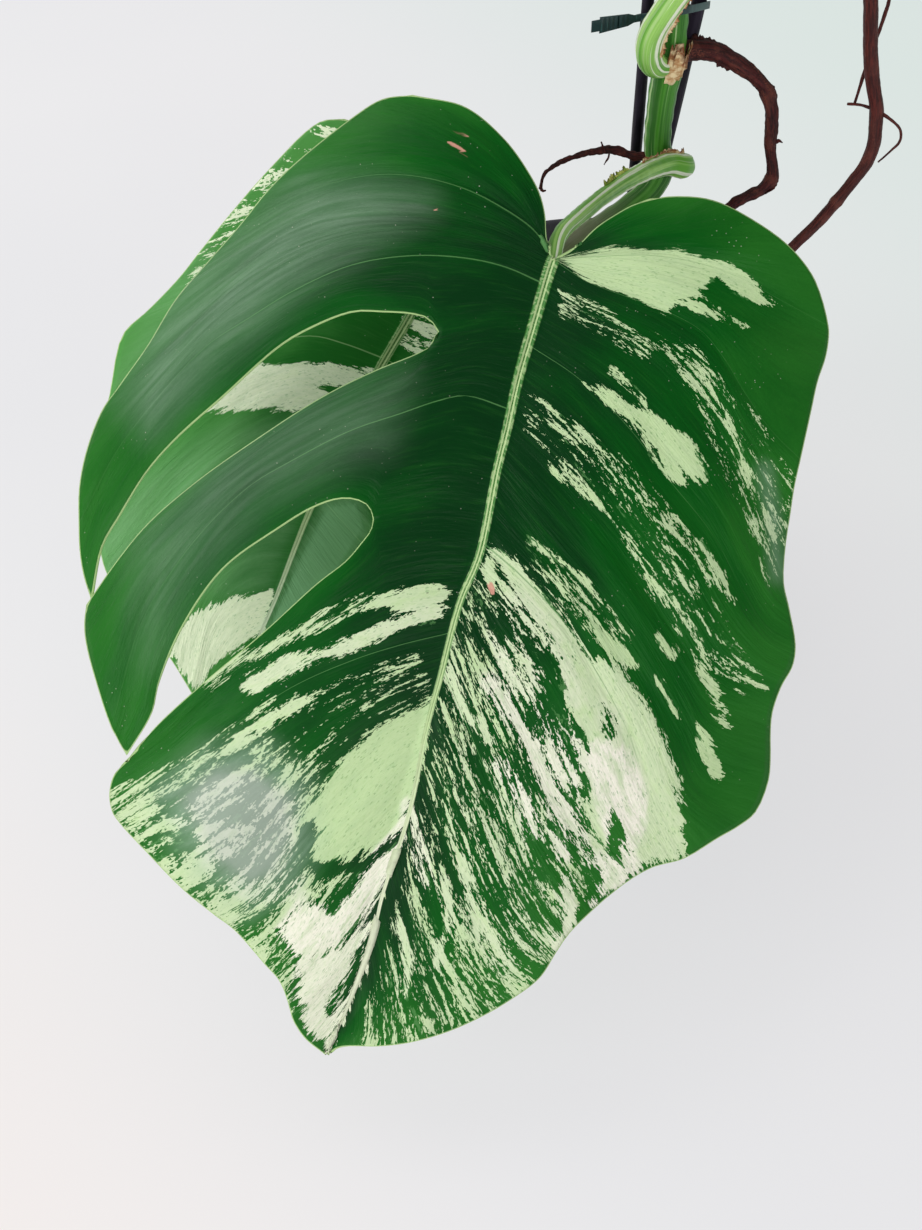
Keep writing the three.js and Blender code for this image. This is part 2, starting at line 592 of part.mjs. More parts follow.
// A round-sided body along a smooth path, with RADII at the path's points. GROW fattens it for a clearance.
function tube({ path, radii }, sides, steps, grow = 0) {
  const curve = new THREE.CatmullRomCurve3(path.map(v3), false, 'centripetal');
  const geometry = new THREE.CylinderGeometry(1, 1, 1, sides, steps);
  const frames = [];
  for (let i = 0; i <= steps; i += 1) {
    const tangent = curve.getTangent(i / steps);
    const before = frames.at(-1);
    const normal = before
      ? before.normal.clone().applyQuaternion(
        new THREE.Quaternion().setFromUnitVectors(before.tangent, tangent),
      )
      : new THREE.Vector3().crossVectors(tangent, new THREE.Vector3(0.31, 0.95, 0.02)).normalize();
    frames.push({ tangent, normal, side: new THREE.Vector3().crossVectors(normal, tangent) });
  }
  const position = geometry.getAttribute('position');
  for (let i = 0; i < position.count; i += 1) {
    const share = position.getY(i) + 0.5;
    const frame = frames[Math.round(share * steps)];
    const place = share * (radii.length - 1);
    const k = Math.min(Math.floor(place), radii.length - 2);
    const radius = THREE.MathUtils.lerp(radii[k], radii[k + 1], place - k) + grow;
    const point = curve.getPoint(share)
      .addScaledVector(frame.normal, position.getX(i) * radius)
      .addScaledVector(frame.side, position.getZ(i) * radius);
    if (grow) point.addScaledVector(frame.tangent, (share === 1 ? grow : 0) - (share === 0 ? grow : 0));
    position.setXYZ(i, point.x, point.y, point.z);
  }
  return geometry;
}

// A closed mesh as a solid for joining and cutting
function solidOf(geometry) {
  const bare = geometry.clone();
  bare.deleteAttribute('normal');
  bare.deleteAttribute('uv');
  const merged = mergeVertices(bare, 1e-3);
  return new wasm.Manifold(new wasm.Mesh({
    numProp: 3,
    vertProperties: new Float32Array(merged.getAttribute('position').array),
    triVerts: new Uint32Array(merged.getIndex().array),
  }));
}

// A solid back as a mesh geometry
function geometryOf(solid) {
  const { vertProperties, triVerts } = solid.getMesh();
  const geometry = new THREE.BufferGeometry();
  geometry.setAttribute('position', new THREE.Float32BufferAttribute(vertProperties, 3));
  geometry.setIndex([...triVerts]);
  return geometry;
}

// A closed body of revolution about +Z from a profile of [radius, height] points
function turned(profile, segments = ROUND_SIDES) {
  const geometry = new THREE.LatheGeometry(profile.map(([r, z]) => new THREE.Vector2(r, z)), segments);
  geometry.rotateX(Math.PI / 2);
  return geometry;
}

// A straight stake's path
function stakePath({ foot, run }, from, to) {
  const at = (z) => [foot[0] + run[0] * (z - foot[2]), foot[1] + run[1] * (z - foot[2]), z];
  return [at(from), at((from + to) / 2), at(to)];
}

function stakeTube(stake, grow = 0) {
  const path = stakePath(stake, STAKE_FOOT, STAKE_TOP);
  return tube({ path, radii: path.map(() => stake.radius) }, 12, 2, grow);
}

// The pot's radius outside, at height Z
const potRadius = (z) => THREE.MathUtils.lerp(POT.baseRadius, POT.rimRadius - POT.lip, z / POT.height);

function potGeometry() {
  const { height, wall, lip, lipHeight, bead, baseRadius } = POT;
  const under = height - lipHeight;
  const outer = [
    [0, 0], [baseRadius - 1.5, 0], [baseRadius, 1.5], [potRadius(under) + 0.2, under - 0.6],
    [potRadius(under) + lip, under], [potRadius(height) + lip, height - bead],
    [potRadius(height) + lip - 0.6, height - 0.3], [potRadius(height) + lip - bead, height],
  ];
  const inner = [
    [potRadius(height) - 0.4, height], [potRadius(height) - wall, height - bead],
    [potRadius(wall + 2) - wall, wall + 2], [potRadius(wall) - wall - 2, wall], [0, wall],
  ];
  let pot = solidOf(turned([...outer, ...inner]));
  for (let i = 0; i < DRAIN.count; i += 1) {
    const angle = ((i + 0.5) / DRAIN.count) * 2 * Math.PI;
    const hole = new THREE.CylinderGeometry(DRAIN.radius, DRAIN.radius, 3 * wall, DRAIN.sides);
    hole.rotateX(Math.PI / 2);
    hole.translate(DRAIN.ring * Math.cos(angle), DRAIN.ring * Math.sin(angle), wall);
    pot = pot.subtract(solidOf(hole));
  }
  return geometryOf(pot);
}

// The soil fills the pot, with a low uneven top and a plain hole for whatever stands in it
function soilGeometry(standing) {
  const floor = POT.wall + GAP;
  const radiusAt = (z) => potRadius(z) - POT.wall - GAP;
  const rings = 7;
  const top = [];
  for (let i = 0; i < rings; i += 1) {
    const share = i / rings;
    top.push([radiusAt(SOIL.top) * (1 - share), SOIL.top + SOIL.mound * Math.sin((Math.PI / 2) * share)]);
  }
  const profile = [[0, floor], [radiusAt(floor) - 2.2, floor], [radiusAt(floor + 2), floor + 2], ...top,
    [0, SOIL.top + SOIL.mound]];
  const geometry = turned(profile, 28);
  const position = geometry.getAttribute('position');
  for (let i = 0; i < position.count; i += 1) {
    const [x, y, z] = [position.getX(i), position.getY(i), position.getZ(i)];
    const inside = Math.hypot(x, y) < radiusAt(SOIL.top) - 1;
    if (z > SOIL.top - 1 && inside) {
      position.setZ(i, z + SOIL.lumps * (Math.sin(0.16 * x + 1) * Math.cos(0.13 * y) + Math.sin(0.3 * y + 0.2 * x)) * 0.5);
    }
  }
  let soil = solidOf(geometry);
  standing.forEach((piece) => {
    soil = soil.subtract(solidOf(piece));
  });
  return geometryOf(soil);
}

// A flat outline of [x, z] points made DEPTH thick, standing at the tail's Y
function upright(outline, depth) {
  const shape = new THREE.Shape(outline.map(([x, z]) => new THREE.Vector2(x, z)));
  const geometry = new THREE.ExtrudeGeometry(shape, { depth, bevelEnabled: false });
  geometry.rotateX(Math.PI / 2);
  geometry.translate(0, TAIL.y + depth / 2, 0);
  return geometry;
}

// The tie: a band round the stem and both stakes, with a ridged tail to the left
function tieGeometry(bodies) {
  const loop = (grow) => {
    const points = [];
    for (let i = 0; i < BAND_SIDES; i += 1) {
      const angle = (i / BAND_SIDES) * 2 * Math.PI;
      const way = new THREE.Vector2(Math.cos(angle), Math.sin(angle));
      const reach = bodies.map(({ at, radius }) => at.dot(way) + radius);
      const body = bodies[reach.indexOf(Math.max(...reach))];
      points.push(body.at.clone().addScaledVector(way, body.radius + grow));
    }
    return points;
  };
  const shape = new THREE.Shape(loop(TIE.slack + TIE.thickness));
  shape.holes.push(new THREE.Path(loop(TIE.slack).reverse()));
  const band = new THREE.ExtrudeGeometry(shape, { depth: TIE.width, bevelEnabled: false });
  band.translate(0, 0, -TIE.width / 2);
  const neck = TIE.width / 2;
  const upper = [
    [TAIL.end, TAIL.blockHeight / 2], [TAIL.block, TAIL.blockHeight / 2], [TAIL.block, TAIL.height / 2],
    [TAIL.neck, TAIL.height / 2 - 0.9], [TAIL.neck + 2.5, neck], [TAIL.joint, neck],
  ];
  const outline = [...upper, ...upper.map(([x, z]) => [x, -z]).reverse()];
  const paddle = upright(outline, TAIL.depth);
  let tie = solidOf(band).add(solidOf(paddle));
  const pitch = (TAIL.neck - TAIL.block) / TAIL.ridges;
  for (let i = 0; i < TAIL.ridges; i += 1) {
    const ridge = new THREE.BoxGeometry(0.5 * pitch, TAIL.depth + 1, TAIL.height - 1.4 - 0.2 * i);
    ridge.translate(TAIL.block + (i + 0.5) * pitch, TAIL.y, 0);
    tie = tie.add(solidOf(ridge));
  }
  const geometry = geometryOf(tie);
  const position = geometry.getAttribute('position');
  for (let i = 0; i < position.count; i += 1) {
    const lift = TIE.rise[0] * (position.getX(i) - TIE.middle[0]) + TIE.rise[1] * (position.getY(i) - TIE.middle[1]);
    position.setZ(i, position.getZ(i) + TIE.height + lift);
  }
  return geometry;
}

const COLOURS = {
  leaf: { color: 0x1d6a2c, roughness: 0.4 },
  stem: { color: 0x5a9a3c, roughness: 0.5 },
  root: { color: 0x432019, roughness: 0.8 },
  stake: { color: 0x1c1620, roughness: 0.6 },
  tie: { color: 0x12413f, roughness: 0.45 },
  pot: { color: 0x2b2930, roughness: 0.55 },
  soil: { color: 0x2e2220, roughness: 0.95 },
};

const plant = new THREE.Group();

function addPiece(name, geometry, look) {
  const clean = geometry.clone();
  clean.deleteAttribute('normal');
  clean.deleteAttribute('uv');
  const merged = mergeVertices(clean, 1e-4);
  merged.computeVertexNormals();
  const mesh = new THREE.Mesh(merged, new THREE.MeshStandardMaterial({ metalness: 0, ...COLOURS[look] }));
  mesh.name = name;
  plant.add(mesh);
}

// The stem first, because the stalks and roots are cut round it
const stem = { path: STEM_PATH, radii: STEM_RADII };
const stemSolid = solidOf(tube(stem, 12, 40));
const stemRoom = solidOf(tube(stem, 12, 40, GAP));
addPiece('stem', geometryOf(stemSolid), 'stem');

// What leaves the stem keeps the clearance round it
function seated(shape, sides, steps, extra = []) {
  let solid = solidOf(tube(shape, sides, steps));
  extra.forEach((more) => {
    solid = solid.add(solidOf(tube(more, 4, 14)));
  });
  return geometryOf(solid.subtract(stemRoom));
}

// A stalk ends close behind its blade's base, with the clearance between its rim and the blade's back
function withEnd(stalk, base, face, down) {
  const front = v3(face).normalize();
  const radius = STALK_END.taper * stalk.radii.at(-1);
  const arrival = v3(base).sub(v3(stalk.path.at(-1))).normalize();
  const lean = Math.sqrt(1 - arrival.dot(front) ** 2);
  const end = v3(base)
    .addScaledVector(front, -(radius * lean + BLADE_THICKNESS / 2 + GAP))
    .addScaledVector(v3(down).normalize(), STALK_END.overlap);
  return { path: [...stalk.path, end.toArray()], radii: [...stalk.radii, radius] };
}

const faceA = FORWARD.clone().negate().toArray();
const downA = UP.clone().negate().toArray();
const baseA = seen(LEAF_A.midrib[0], BEND_A.depth).toArray();
const baseB = seen(LEAF_B.midrib[0], BEND_B.depth).toArray();
addPiece('petiole_a', seated(withEnd(PETIOLE_A, baseA, faceA, downA), 11, 26), 'stem');
addPiece('petiole_b', seated(withEnd(PETIOLE_B, baseB, faceA, downA), 10, 16), 'stem');
addPiece('petiole_c', seated(withEnd(PETIOLE_C, PLACE_C.base, PLACE_C.face, PLACE_C.midrib), 11, 20), 'stem');
addPiece('petiole_d', seated(withEnd(PETIOLE_D, PLACE_D.base, PLACE_D.face, PLACE_D.midrib), 10, 14), 'stem');

[
  ['leaf_a', LEAF_A, sightPlace(LEAF_A, BEND_A), FINE_GRID],
  ['leaf_b', LEAF_B, sightPlace(LEAF_B, BEND_B), WHOLE_GRID],
  ['leaf_c', LEAF_A, freePlace(LEAF_A, BEND_C, PLACE_C), PLAIN_GRID],
  ['leaf_d', LEAF_A, freePlace(LEAF_A, BEND_D, PLACE_D), PLAIN_GRID],
].forEach(([name, leaf, place, grid]) => addPiece(name, bladeGeometry(bladeSheet(leaf, place, grid)), 'leaf'));
addPiece('new_leaf', tube(NEW_LEAF, 10, 12), 'leaf');

addPiece('root_1', seated(ROOT_1, 7, 14), 'root');
addPiece('root_2', seated(ROOT_2, 8, 26), 'root');
addPiece('root_3', seated(ROOT_3, 8, 30, ROOTLETS), 'root');

addPiece('stake_left', stakeTube(STAKE_LEFT), 'stake');
addPiece('stake_right', stakeTube(STAKE_RIGHT), 'stake');
const atTie = (stake) => {
  const [x, y] = stakePath(stake, TIE.height, TIE.height + 1)[0];
  return { at: new THREE.Vector2(x, y), radius: stake.radius };
};
addPiece('plant_tie', tieGeometry([
  { at: new THREE.Vector2(22.4, 0), radius: STEM_RADIUS },
  atTie(STAKE_LEFT),
  atTie(STAKE_RIGHT),
]), 'tie');

addPiece('pot', potGeometry(), 'pot');
addPiece('soil', soilGeometry([
  tube(stem, 12, 40, GAP),
  tube(ROOT_2, 8, 26, GAP),
  tube(ROOT_3, 8, 30, GAP),
  stakeTube(STAKE_LEFT, GAP),
  stakeTube(STAKE_RIGHT, GAP),
]), 'soil');

export default plant;
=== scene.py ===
"""The looks of a potted variegated monstera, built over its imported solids.

Metres, +Z up, with the origin at the centre of the pot's base.
"""
import logging
import math
import random
from dataclasses import dataclass, replace
from enum import Enum
from typing import Callable, Sequence, Union

import bmesh
import bpy
import numpy as np
from mathutils import Matrix, Vector


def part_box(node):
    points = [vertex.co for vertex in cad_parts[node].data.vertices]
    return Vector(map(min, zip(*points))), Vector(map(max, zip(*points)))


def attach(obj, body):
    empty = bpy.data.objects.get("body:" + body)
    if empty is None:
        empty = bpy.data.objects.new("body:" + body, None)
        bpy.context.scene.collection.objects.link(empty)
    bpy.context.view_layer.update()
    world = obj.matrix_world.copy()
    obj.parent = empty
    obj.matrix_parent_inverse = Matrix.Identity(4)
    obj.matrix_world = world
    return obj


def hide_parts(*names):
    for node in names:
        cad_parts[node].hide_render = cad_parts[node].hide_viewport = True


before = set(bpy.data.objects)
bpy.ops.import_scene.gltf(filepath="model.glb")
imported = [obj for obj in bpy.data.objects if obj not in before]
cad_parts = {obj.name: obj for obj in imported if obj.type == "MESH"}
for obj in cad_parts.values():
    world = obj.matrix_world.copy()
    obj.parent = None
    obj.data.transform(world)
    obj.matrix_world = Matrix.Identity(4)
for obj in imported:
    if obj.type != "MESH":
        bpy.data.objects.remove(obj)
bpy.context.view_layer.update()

log = logging.getLogger("monstera")

Points = Sequence[Sequence[float]]
Spot = tuple[float, float, float]
Colour = tuple[float, float, float]
Array = np.ndarray
Mesh = bpy.types.Mesh
Material = bpy.types.Material
Socket = bpy.types.NodeSocket
Value = Union[float, Sequence[float], Socket]

MM = 0.001
BODY = "root"
# Millimetres: the blade, the room between it and its stalk, and how far the stalk's end runs under it
BLADE_THICKNESS = 0.8
GAP = 0.3
STALK_OVERLAP = 1.5
STALK_TAPER = 0.88
BLADE_A_LENGTH = 298.0
STEM_RADIUS = 5.75
NODE_RADIUS = 6.6
# The midrib's half width at its start, how much of it is lost by the tip, and the same for its height
RIB_HALF = 2.2
RIB_TAPER = 0.75
RIDGE_TAPER = 0.8
# The share of a half's width that the rib takes, and the row where a split's round end lies
RIB_ROW = 0.03
SPLIT_ROW = 0.22
# Veins that start nearer to the leaf's base than this share of its midrib fan out from the base itself
FAN_SHARE = 0.008
# A side vein's trough: its half width, and how fast its drawn line thins towards the margin
CREASE_HALF = 2.2
VEIN_THINNING = 1.4
# The farthest that a blade's distance fields are told apart, in millimetres
FAR = 6.0
PLAIN_RAGGED = 1.2
PLAIN_TONE = 0.25
FRAME_STEPS = 2000
FULL_TURN = 2 * math.pi


class Slot(Enum):
    """The record's material slots."""

    LEAF = "leaf"
    STEM = "stem"
    ROOT = "root"
    STAKE = "stake"
    TIE = "tie"
    POT = "pot"
    SOIL = "soil"


class SmoothCurve:
    """A centripetal curve through points, read by share of its length."""

    STEPS = 200

    def __init__(self, points: Points) -> None:
        """Fits the curve.

        Args:
            points: the points that it passes, in order.
        """
        given = np.asarray(points, float)
        padded = np.vstack([2 * given[:1] - given[1:2], given, 2 * given[-1:] - given[-2:-1]])
        x0, x1, x2, x3 = padded[:-3], padded[1:-2], padded[2:-1], padded[3:]
        d0, d1, d2 = (
            np.maximum(np.linalg.norm(b - a, axis=1, keepdims=True), 1e-6) ** 0.5
            for a, b in ((x0, x1), (x1, x2), (x2, x3))
        )
        leave = ((x1 - x0) / d0 - (x2 - x0) / (d0 + d1) + (x2 - x1) / d1) * d1
        arrive = ((x2 - x1) / d1 - (x3 - x1) / (d1 + d2) + (x3 - x2) / d2) * d1
        self.terms = (x1, leave, 3 * (x2 - x1) - 2 * leave - arrive, 2 * (x1 - x2) + leave + arrive)
        self.spans = len(given) - 1
        self.marks = np.linspace(0, 1, self.STEPS + 1)
        steps = np.linalg.norm(np.diff(self.at(self.marks), axis=0), axis=1)
        self.lengths = np.concatenate([[0.0], np.cumsum(steps)])
        self.length = float(self.lengths[-1])

    def at(self, share: Array) -> Array:
        """The points at shares of the point numbering.

        Args:
            share: numbers from 0 at the first point to 1 at the last.

        Returns:
            One row for each share.
        """
        place = np.clip(np.atleast_1d(share), 0, 1) * self.spans
        span = np.minimum(place.astype(int), self.spans - 1)
        w = (place - span)[:, None]
        a, b, c, d = (term[span] for term in self.terms)
        return a + w * (b + w * (c + w * d))

    def along(self, share: Array) -> Array:
        """The points at shares of the length.

        Args:
            share: numbers from 0 at the start to 1 at the end.

        Returns:
            One row for each share.
        """
        return self.at(np.interp(np.atleast_1d(share) * self.length, self.lengths, self.marks))


@dataclass(frozen=True)
class Sight:
    """The eye that leaves A and B are set out from, on a sheet of SHEET steps with y down."""

    eye: Spot = (-65.0, -640.0, 529.0)
    pitch: float = math.radians(42)
    steps: float = 1555.0
    sheet: tuple[float, float] = (922.0, 1230.0)

    @property
    def forward(self) -> Array:
        """The way the eye looks."""
        return np.array([0, math.cos(self.pitch), -math.sin(self.pitch)])

    @property
    def up(self) -> Array:
        """The sheet's up."""
        return np.array([0, math.sin(self.pitch), math.cos(self.pitch)])

    def seen(self, x: Array, y: Array, depth: Array) -> Array:
        """Places on lines of sight.

        Args:
            x: steps to the right on the sheet.
            y: steps down the sheet.
            depth: millimetres in front of the eye.

        Returns:
            Places in millimetres, one row for each.
        """
        across = (np.asarray(x) - self.sheet[0] / 2) / self.steps
        above = (self.sheet[1] / 2 - np.asarray(y)) / self.steps
        way = self.forward + np.multiply.outer(across, [1.0, 0, 0]) + np.multiply.outer(above, self.up)
        return np.array(self.eye) + np.asarray(depth)[..., None] * way


SIGHT = Sight()


@dataclass(frozen=True)
class Vein:
    """A side vein to the margin, with the margin's points up to the next entry. PALE is how it shows."""

    path: Points
    rim: Points = ()
    pale: float = 0.0


@dataclass(frozen=True)
class Split:
    """A split in the blade: from the midrib to its round inner end, then its two edges out."""

    root: Points
    upper: Points
    lower: Points
    rim: Points = ()


@dataclass(frozen=True)
class Outline:
    """A leaf on the sheet: its midrib, and each half from the sinus round to the tip."""

    midrib: Points
    left: Sequence[Union[Vein, Split]]
    right: Sequence[Union[Vein, Split]]


LEAF_A = Outline(
    midrib=[
        (553, 260), (550, 268), (532, 330), (519, 375), (507, 429), (497, 470), (479, 557), (461, 600),
        (441, 675), (426, 733), (409, 815), (384, 891), (369, 952), (343, 1020), (326, 1055),
    ],
    left=[
        Vein([(553, 260), (547, 240), (545, 215), (540, 195), (530, 175), (505, 140), (465, 107),
            (412, 95)], [(382, 100), (353, 118), (294, 165), (265, 194)]),
        Vein([(553, 260), (535, 232), (500, 207), (461, 188), (412, 176), (367, 176), (309, 191),
            (238, 228)], [(206, 265), (176, 300)], pale=0.8),
        Vein([(553, 260), (505, 237), (455, 222), (400, 217), (340, 222), (280, 243), (215, 290),
            (147, 347)], [(118, 388), (103, 410)]),
        Vein([(549, 271), (505, 252), (450, 240), (400, 236), (345, 242), (285, 267), (215, 318),
            (150, 385), (112, 426), (88, 448)], [(80, 486)]),
        Vein([(544, 284), (507, 268), (469, 259), (412, 256), (353, 265), (294, 291), (250, 318),
            (206, 347), (160, 396), (118, 450), (79, 524)], [(80, 550), (84, 575)], pale=0.85),
        Split(
            root=[(535, 321), (500, 322), (438, 332)],
            upper=[(429, 319), (412, 314), (382, 312), (353, 312), (309, 329), (279, 347), (223, 397),
                (176, 439), (147, 472), (118, 519), (103, 545), (92, 600)],
            lower=[(432, 345), (412, 356), (382, 368), (323, 397), (235, 454), (188, 489), (147, 525),
                (118, 560), (87, 605)],
            rim=[(85, 625), (87, 645), (97, 683)],
        ),
        Vein([(511, 410), (466, 396), (438, 401), (400, 414), (353, 430), (294, 460), (250, 486),
            (206, 528), (170, 575), (141, 625), (112, 728)], pale=0.75),
        Split(
            root=[(488, 515), (440, 510), (373, 519)],
            upper=[(369, 507), (357, 500), (338, 499), (312, 508), (279, 528), (223, 569), (182, 628),
                (159, 683), (152, 713), (127, 755)],
            lower=[(371, 530), (362, 542), (347, 560), (318, 583), (265, 631), (206, 681), (153, 730),
                (130, 758)],
        ),
        Vein([(470, 578), (420, 580), (370, 598), (320, 625), (270, 660), (210, 700), (160, 745),
            (115, 774)], [(110, 792)]),
        Vein([(452, 632), (400, 645), (353, 660), (294, 686), (235, 725), (180, 765), (113, 812)],
            [(121, 824), (147, 852), (182, 888)], pale=0.35),
        Vein([(430, 715), (385, 745), (335, 790), (290, 845), (250, 890), (214, 914)], [(235, 930)]),
        Vein([(410, 810), (370, 850), (330, 890), (300, 930), (265, 964)], [(279, 980)]),
        Vein([(385, 888), (355, 930), (325, 970), (288, 1002)], [(293, 1020)]),
        Vein([(362, 968), (340, 1000), (305, 1038)]),
    ],
    right=[
        Vein([(553, 260), (571, 251), (597, 227), (615, 215), (633, 205), (651, 199)], [(668, 197)]),
        Vein([(553, 260), (585, 243), (620, 228), (660, 215), (700, 198)], [(722, 204), (749, 218)]),
        Vein([(553, 260), (600, 250), (650, 243), (700, 240), (779, 238)], [(798, 256), (815, 281)]),
        Vein([(553, 260), (600, 257), (650, 256), (700, 264), (740, 278), (780, 300), (828, 326)],
            [(828, 340), (825, 358), (817, 382), (811, 410)], pale=0.3),
        Vein([(553, 260), (587, 282), (626, 297), (667, 312), (702, 332), (726, 362), (743, 391),
            (770, 430), (800, 460)], [(794, 487), (790, 513), (785, 545)], pale=0.3),
        Vein([(543, 300), (580, 322), (620, 340), (660, 370), (700, 415), (735, 470), (762, 530),
            (783, 583)], [(789, 610)]),
        Vein([(529, 345), (579, 379), (626, 425), (667, 478), (711, 533), (743, 592), (768, 630),
            (795, 645)], [(792, 666), (781, 686)], pale=0.3),
        Vein([(508, 425), (545, 460), (590, 510), (635, 570), (675, 630), (710, 680), (772, 712)],
            [(770, 733), (770, 757), (768, 780)]),
        Vein([(495, 482), (540, 540), (590, 600), (640, 670), (675, 740), (700, 790), (755, 812)],
            [(738, 826), (717, 838)]),
        Vein([(482, 543), (520, 575), (564, 622), (593, 666), (626, 728), (648, 790), (684, 858)],
            [(652, 867)], pale=0.9),
        Vein([(465, 594), (490, 650), (525, 710), (555, 775), (590, 830), (629, 880)], [(608, 896),
            (590, 912)]),
        Vein([(443, 668), (465, 720), (490, 780), (525, 860), (570, 932)], [(556, 952)], pale=0.5),
        Vein([(419, 765), (440, 820), (470, 890), (511, 955), (540, 977)], [(511, 999)]),
        Vein([(400, 841), (412, 890), (440, 960), (478, 1018)], [(443, 1033)]),
        Vein([(378, 913), (390, 960), (406, 1043)], [(379, 1046), (352, 1046), (338, 1048)]),
    ],
)

LEAF_B = Outline(
    midrib=[
        (450, 240), (428, 281), (410, 316), (378, 371), (340, 445), (308, 515), (275, 600), (262, 630),
        (240, 685), (220, 735),
    ],
    left=[
        Vein([(450, 240), (446, 215), (435, 185), (415, 155), (385, 132), (344, 119)], [(323, 121),
            (306, 132), (282, 156)]),
        Vein([(450, 240), (400, 205), (350, 190), (300, 184), (250, 191)], [(206, 244)], pale=0.6),
        Vein([(430, 277), (385, 254), (325, 243), (250, 256), (176, 282)], [(147, 312), (123, 335)],
            pale=0.6),
        Vein([(405, 324), (360, 300), (300, 292), (230, 310), (160, 350), (110, 394)], [(101, 430)]),
        Vein([(385, 359), (345, 344), (310, 336), (250, 350), (170, 400), (97, 470)], [(97, 515)],
            pale=0.9),
        Vein([(355, 415), (310, 405), (255, 420), (180, 475), (103, 562)], [(112, 583), (135, 615)]),
        Vein([(318, 494), (275, 490), (225, 515), (175, 575), (157, 643)], [(168, 655)], pale=0.5),
        Vein([(288, 568), (250, 572), (215, 605), (190, 690)]),
        Vein([(262, 630), (238, 645), (215, 675), (203, 712)]),
    ],
    right=[
        Vein([(450, 240), (458, 215), (475, 193), (500, 184)]),
        Vein([(450, 240), (480, 222), (505, 212), (533, 212)], [(545, 240), (560, 280)]),
        Vein([(437, 263), (480, 265), (530, 288), (575, 335)], [(585, 375)], pale=0.5),
        Vein([(412, 312), (460, 328), (520, 365), (586, 420)], [(581, 465)]),
        Vein([(385, 359), (430, 383), (500, 435), (566, 512)], [(552, 545)], pale=0.5),
        Vein([(355, 415), (400, 450), (460, 510), (528, 582)], [(500, 617)]),
        Vein([(318, 494), (350, 530), (400, 585), (462, 655)], [(425, 685)], pale=0.5),
        Vein([(288, 568), (310, 605), (345, 655), (380, 712)], [(340, 731)]),
        Vein([(262, 630), (270, 665), (283, 705), (290, 742)], [(254, 742)]),
    ],
)
LEAF_SCALE = math.dist(LEAF_A.midrib[0], LEAF_A.midrib[-1]) / BLADE_A_LENGTH


@dataclass(frozen=True)
class Bend:
    """How a blade bends, in millimetres, as the solids have it, and the finer relief on top of that.

    The relief is a swell between the veins, a groove along them and a ripple. Both fade in over some rows.
    """

    arch: float
    fold: float
    curl: float
    tilt: float
    wave: float
    waves: float
    lobes: float
    quilt: float = 2.2
    quilt_width: float = 110.0
    groove: float = 0.45
    groove_row: float = 0.1
    ripple: float = 0.4
    ripple_row: float = 0.3

    def depth(self, along: Array, across: Array, length: float, lie: "Lie") -> Array:
        """How far the blade lies behind its flat sheet.

        Args:
            along: millimetres from the base towards the tip.
            across: millimetres from the base's line, to either side.
            length: millimetres from base to tip.
            lie: each point's place in the leaf.

        Returns:
            Millimetres behind the sheet.
        """
        rise = -self.arch * np.sin(np.pi * np.clip(along, 0, length) / length)
        wing = np.abs(across)
        half = -self.fold * wing + self.curl * wing * wing
        lobe = np.where(along < 0, self.lobes * along * along, 0)
        wave = self.wave * lie.row**3 * np.sin(2 * np.pi * self.waves * lie.turn)
        quilt = -self.quilt * lie.swell * 4 * lie.row * (1 - lie.row)
        groove = self.groove * lie.crease * np.clip(lie.row / self.groove_row, 0, 1)
        s, t = lie.across, lie.along
        fine = np.sin(s / 3.1 + 1.3 * np.sin(t / 17)) * np.sin(t / 23 + s / 9)
        fine += 0.6 * np.sin(s / 5.3 - t / 11)
        ripple = self.ripple * fine * np.clip((lie.row - RIB_ROW) / self.ripple_row, 0, 1)
        return rise + half + lobe + self.tilt * along + wave + quilt + groove + ripple


@dataclass
class Lie:
    """Where points of a blade lie: on the sheet, on the leaf's own grid, and along its veins.

    STATION and ROW are shares along the midrib and out to the margin, TURN the share round the margin,
    SWELL how far between two veins, ACROSS and ALONG millimetres in the vein's direction, and CREASE how
    deep in a vein's trough.
    """

    sheet: Array
    station: Array
    row: Array
    turn: Array
    swell: Array
    across: Array
    along: Array
    crease: Array


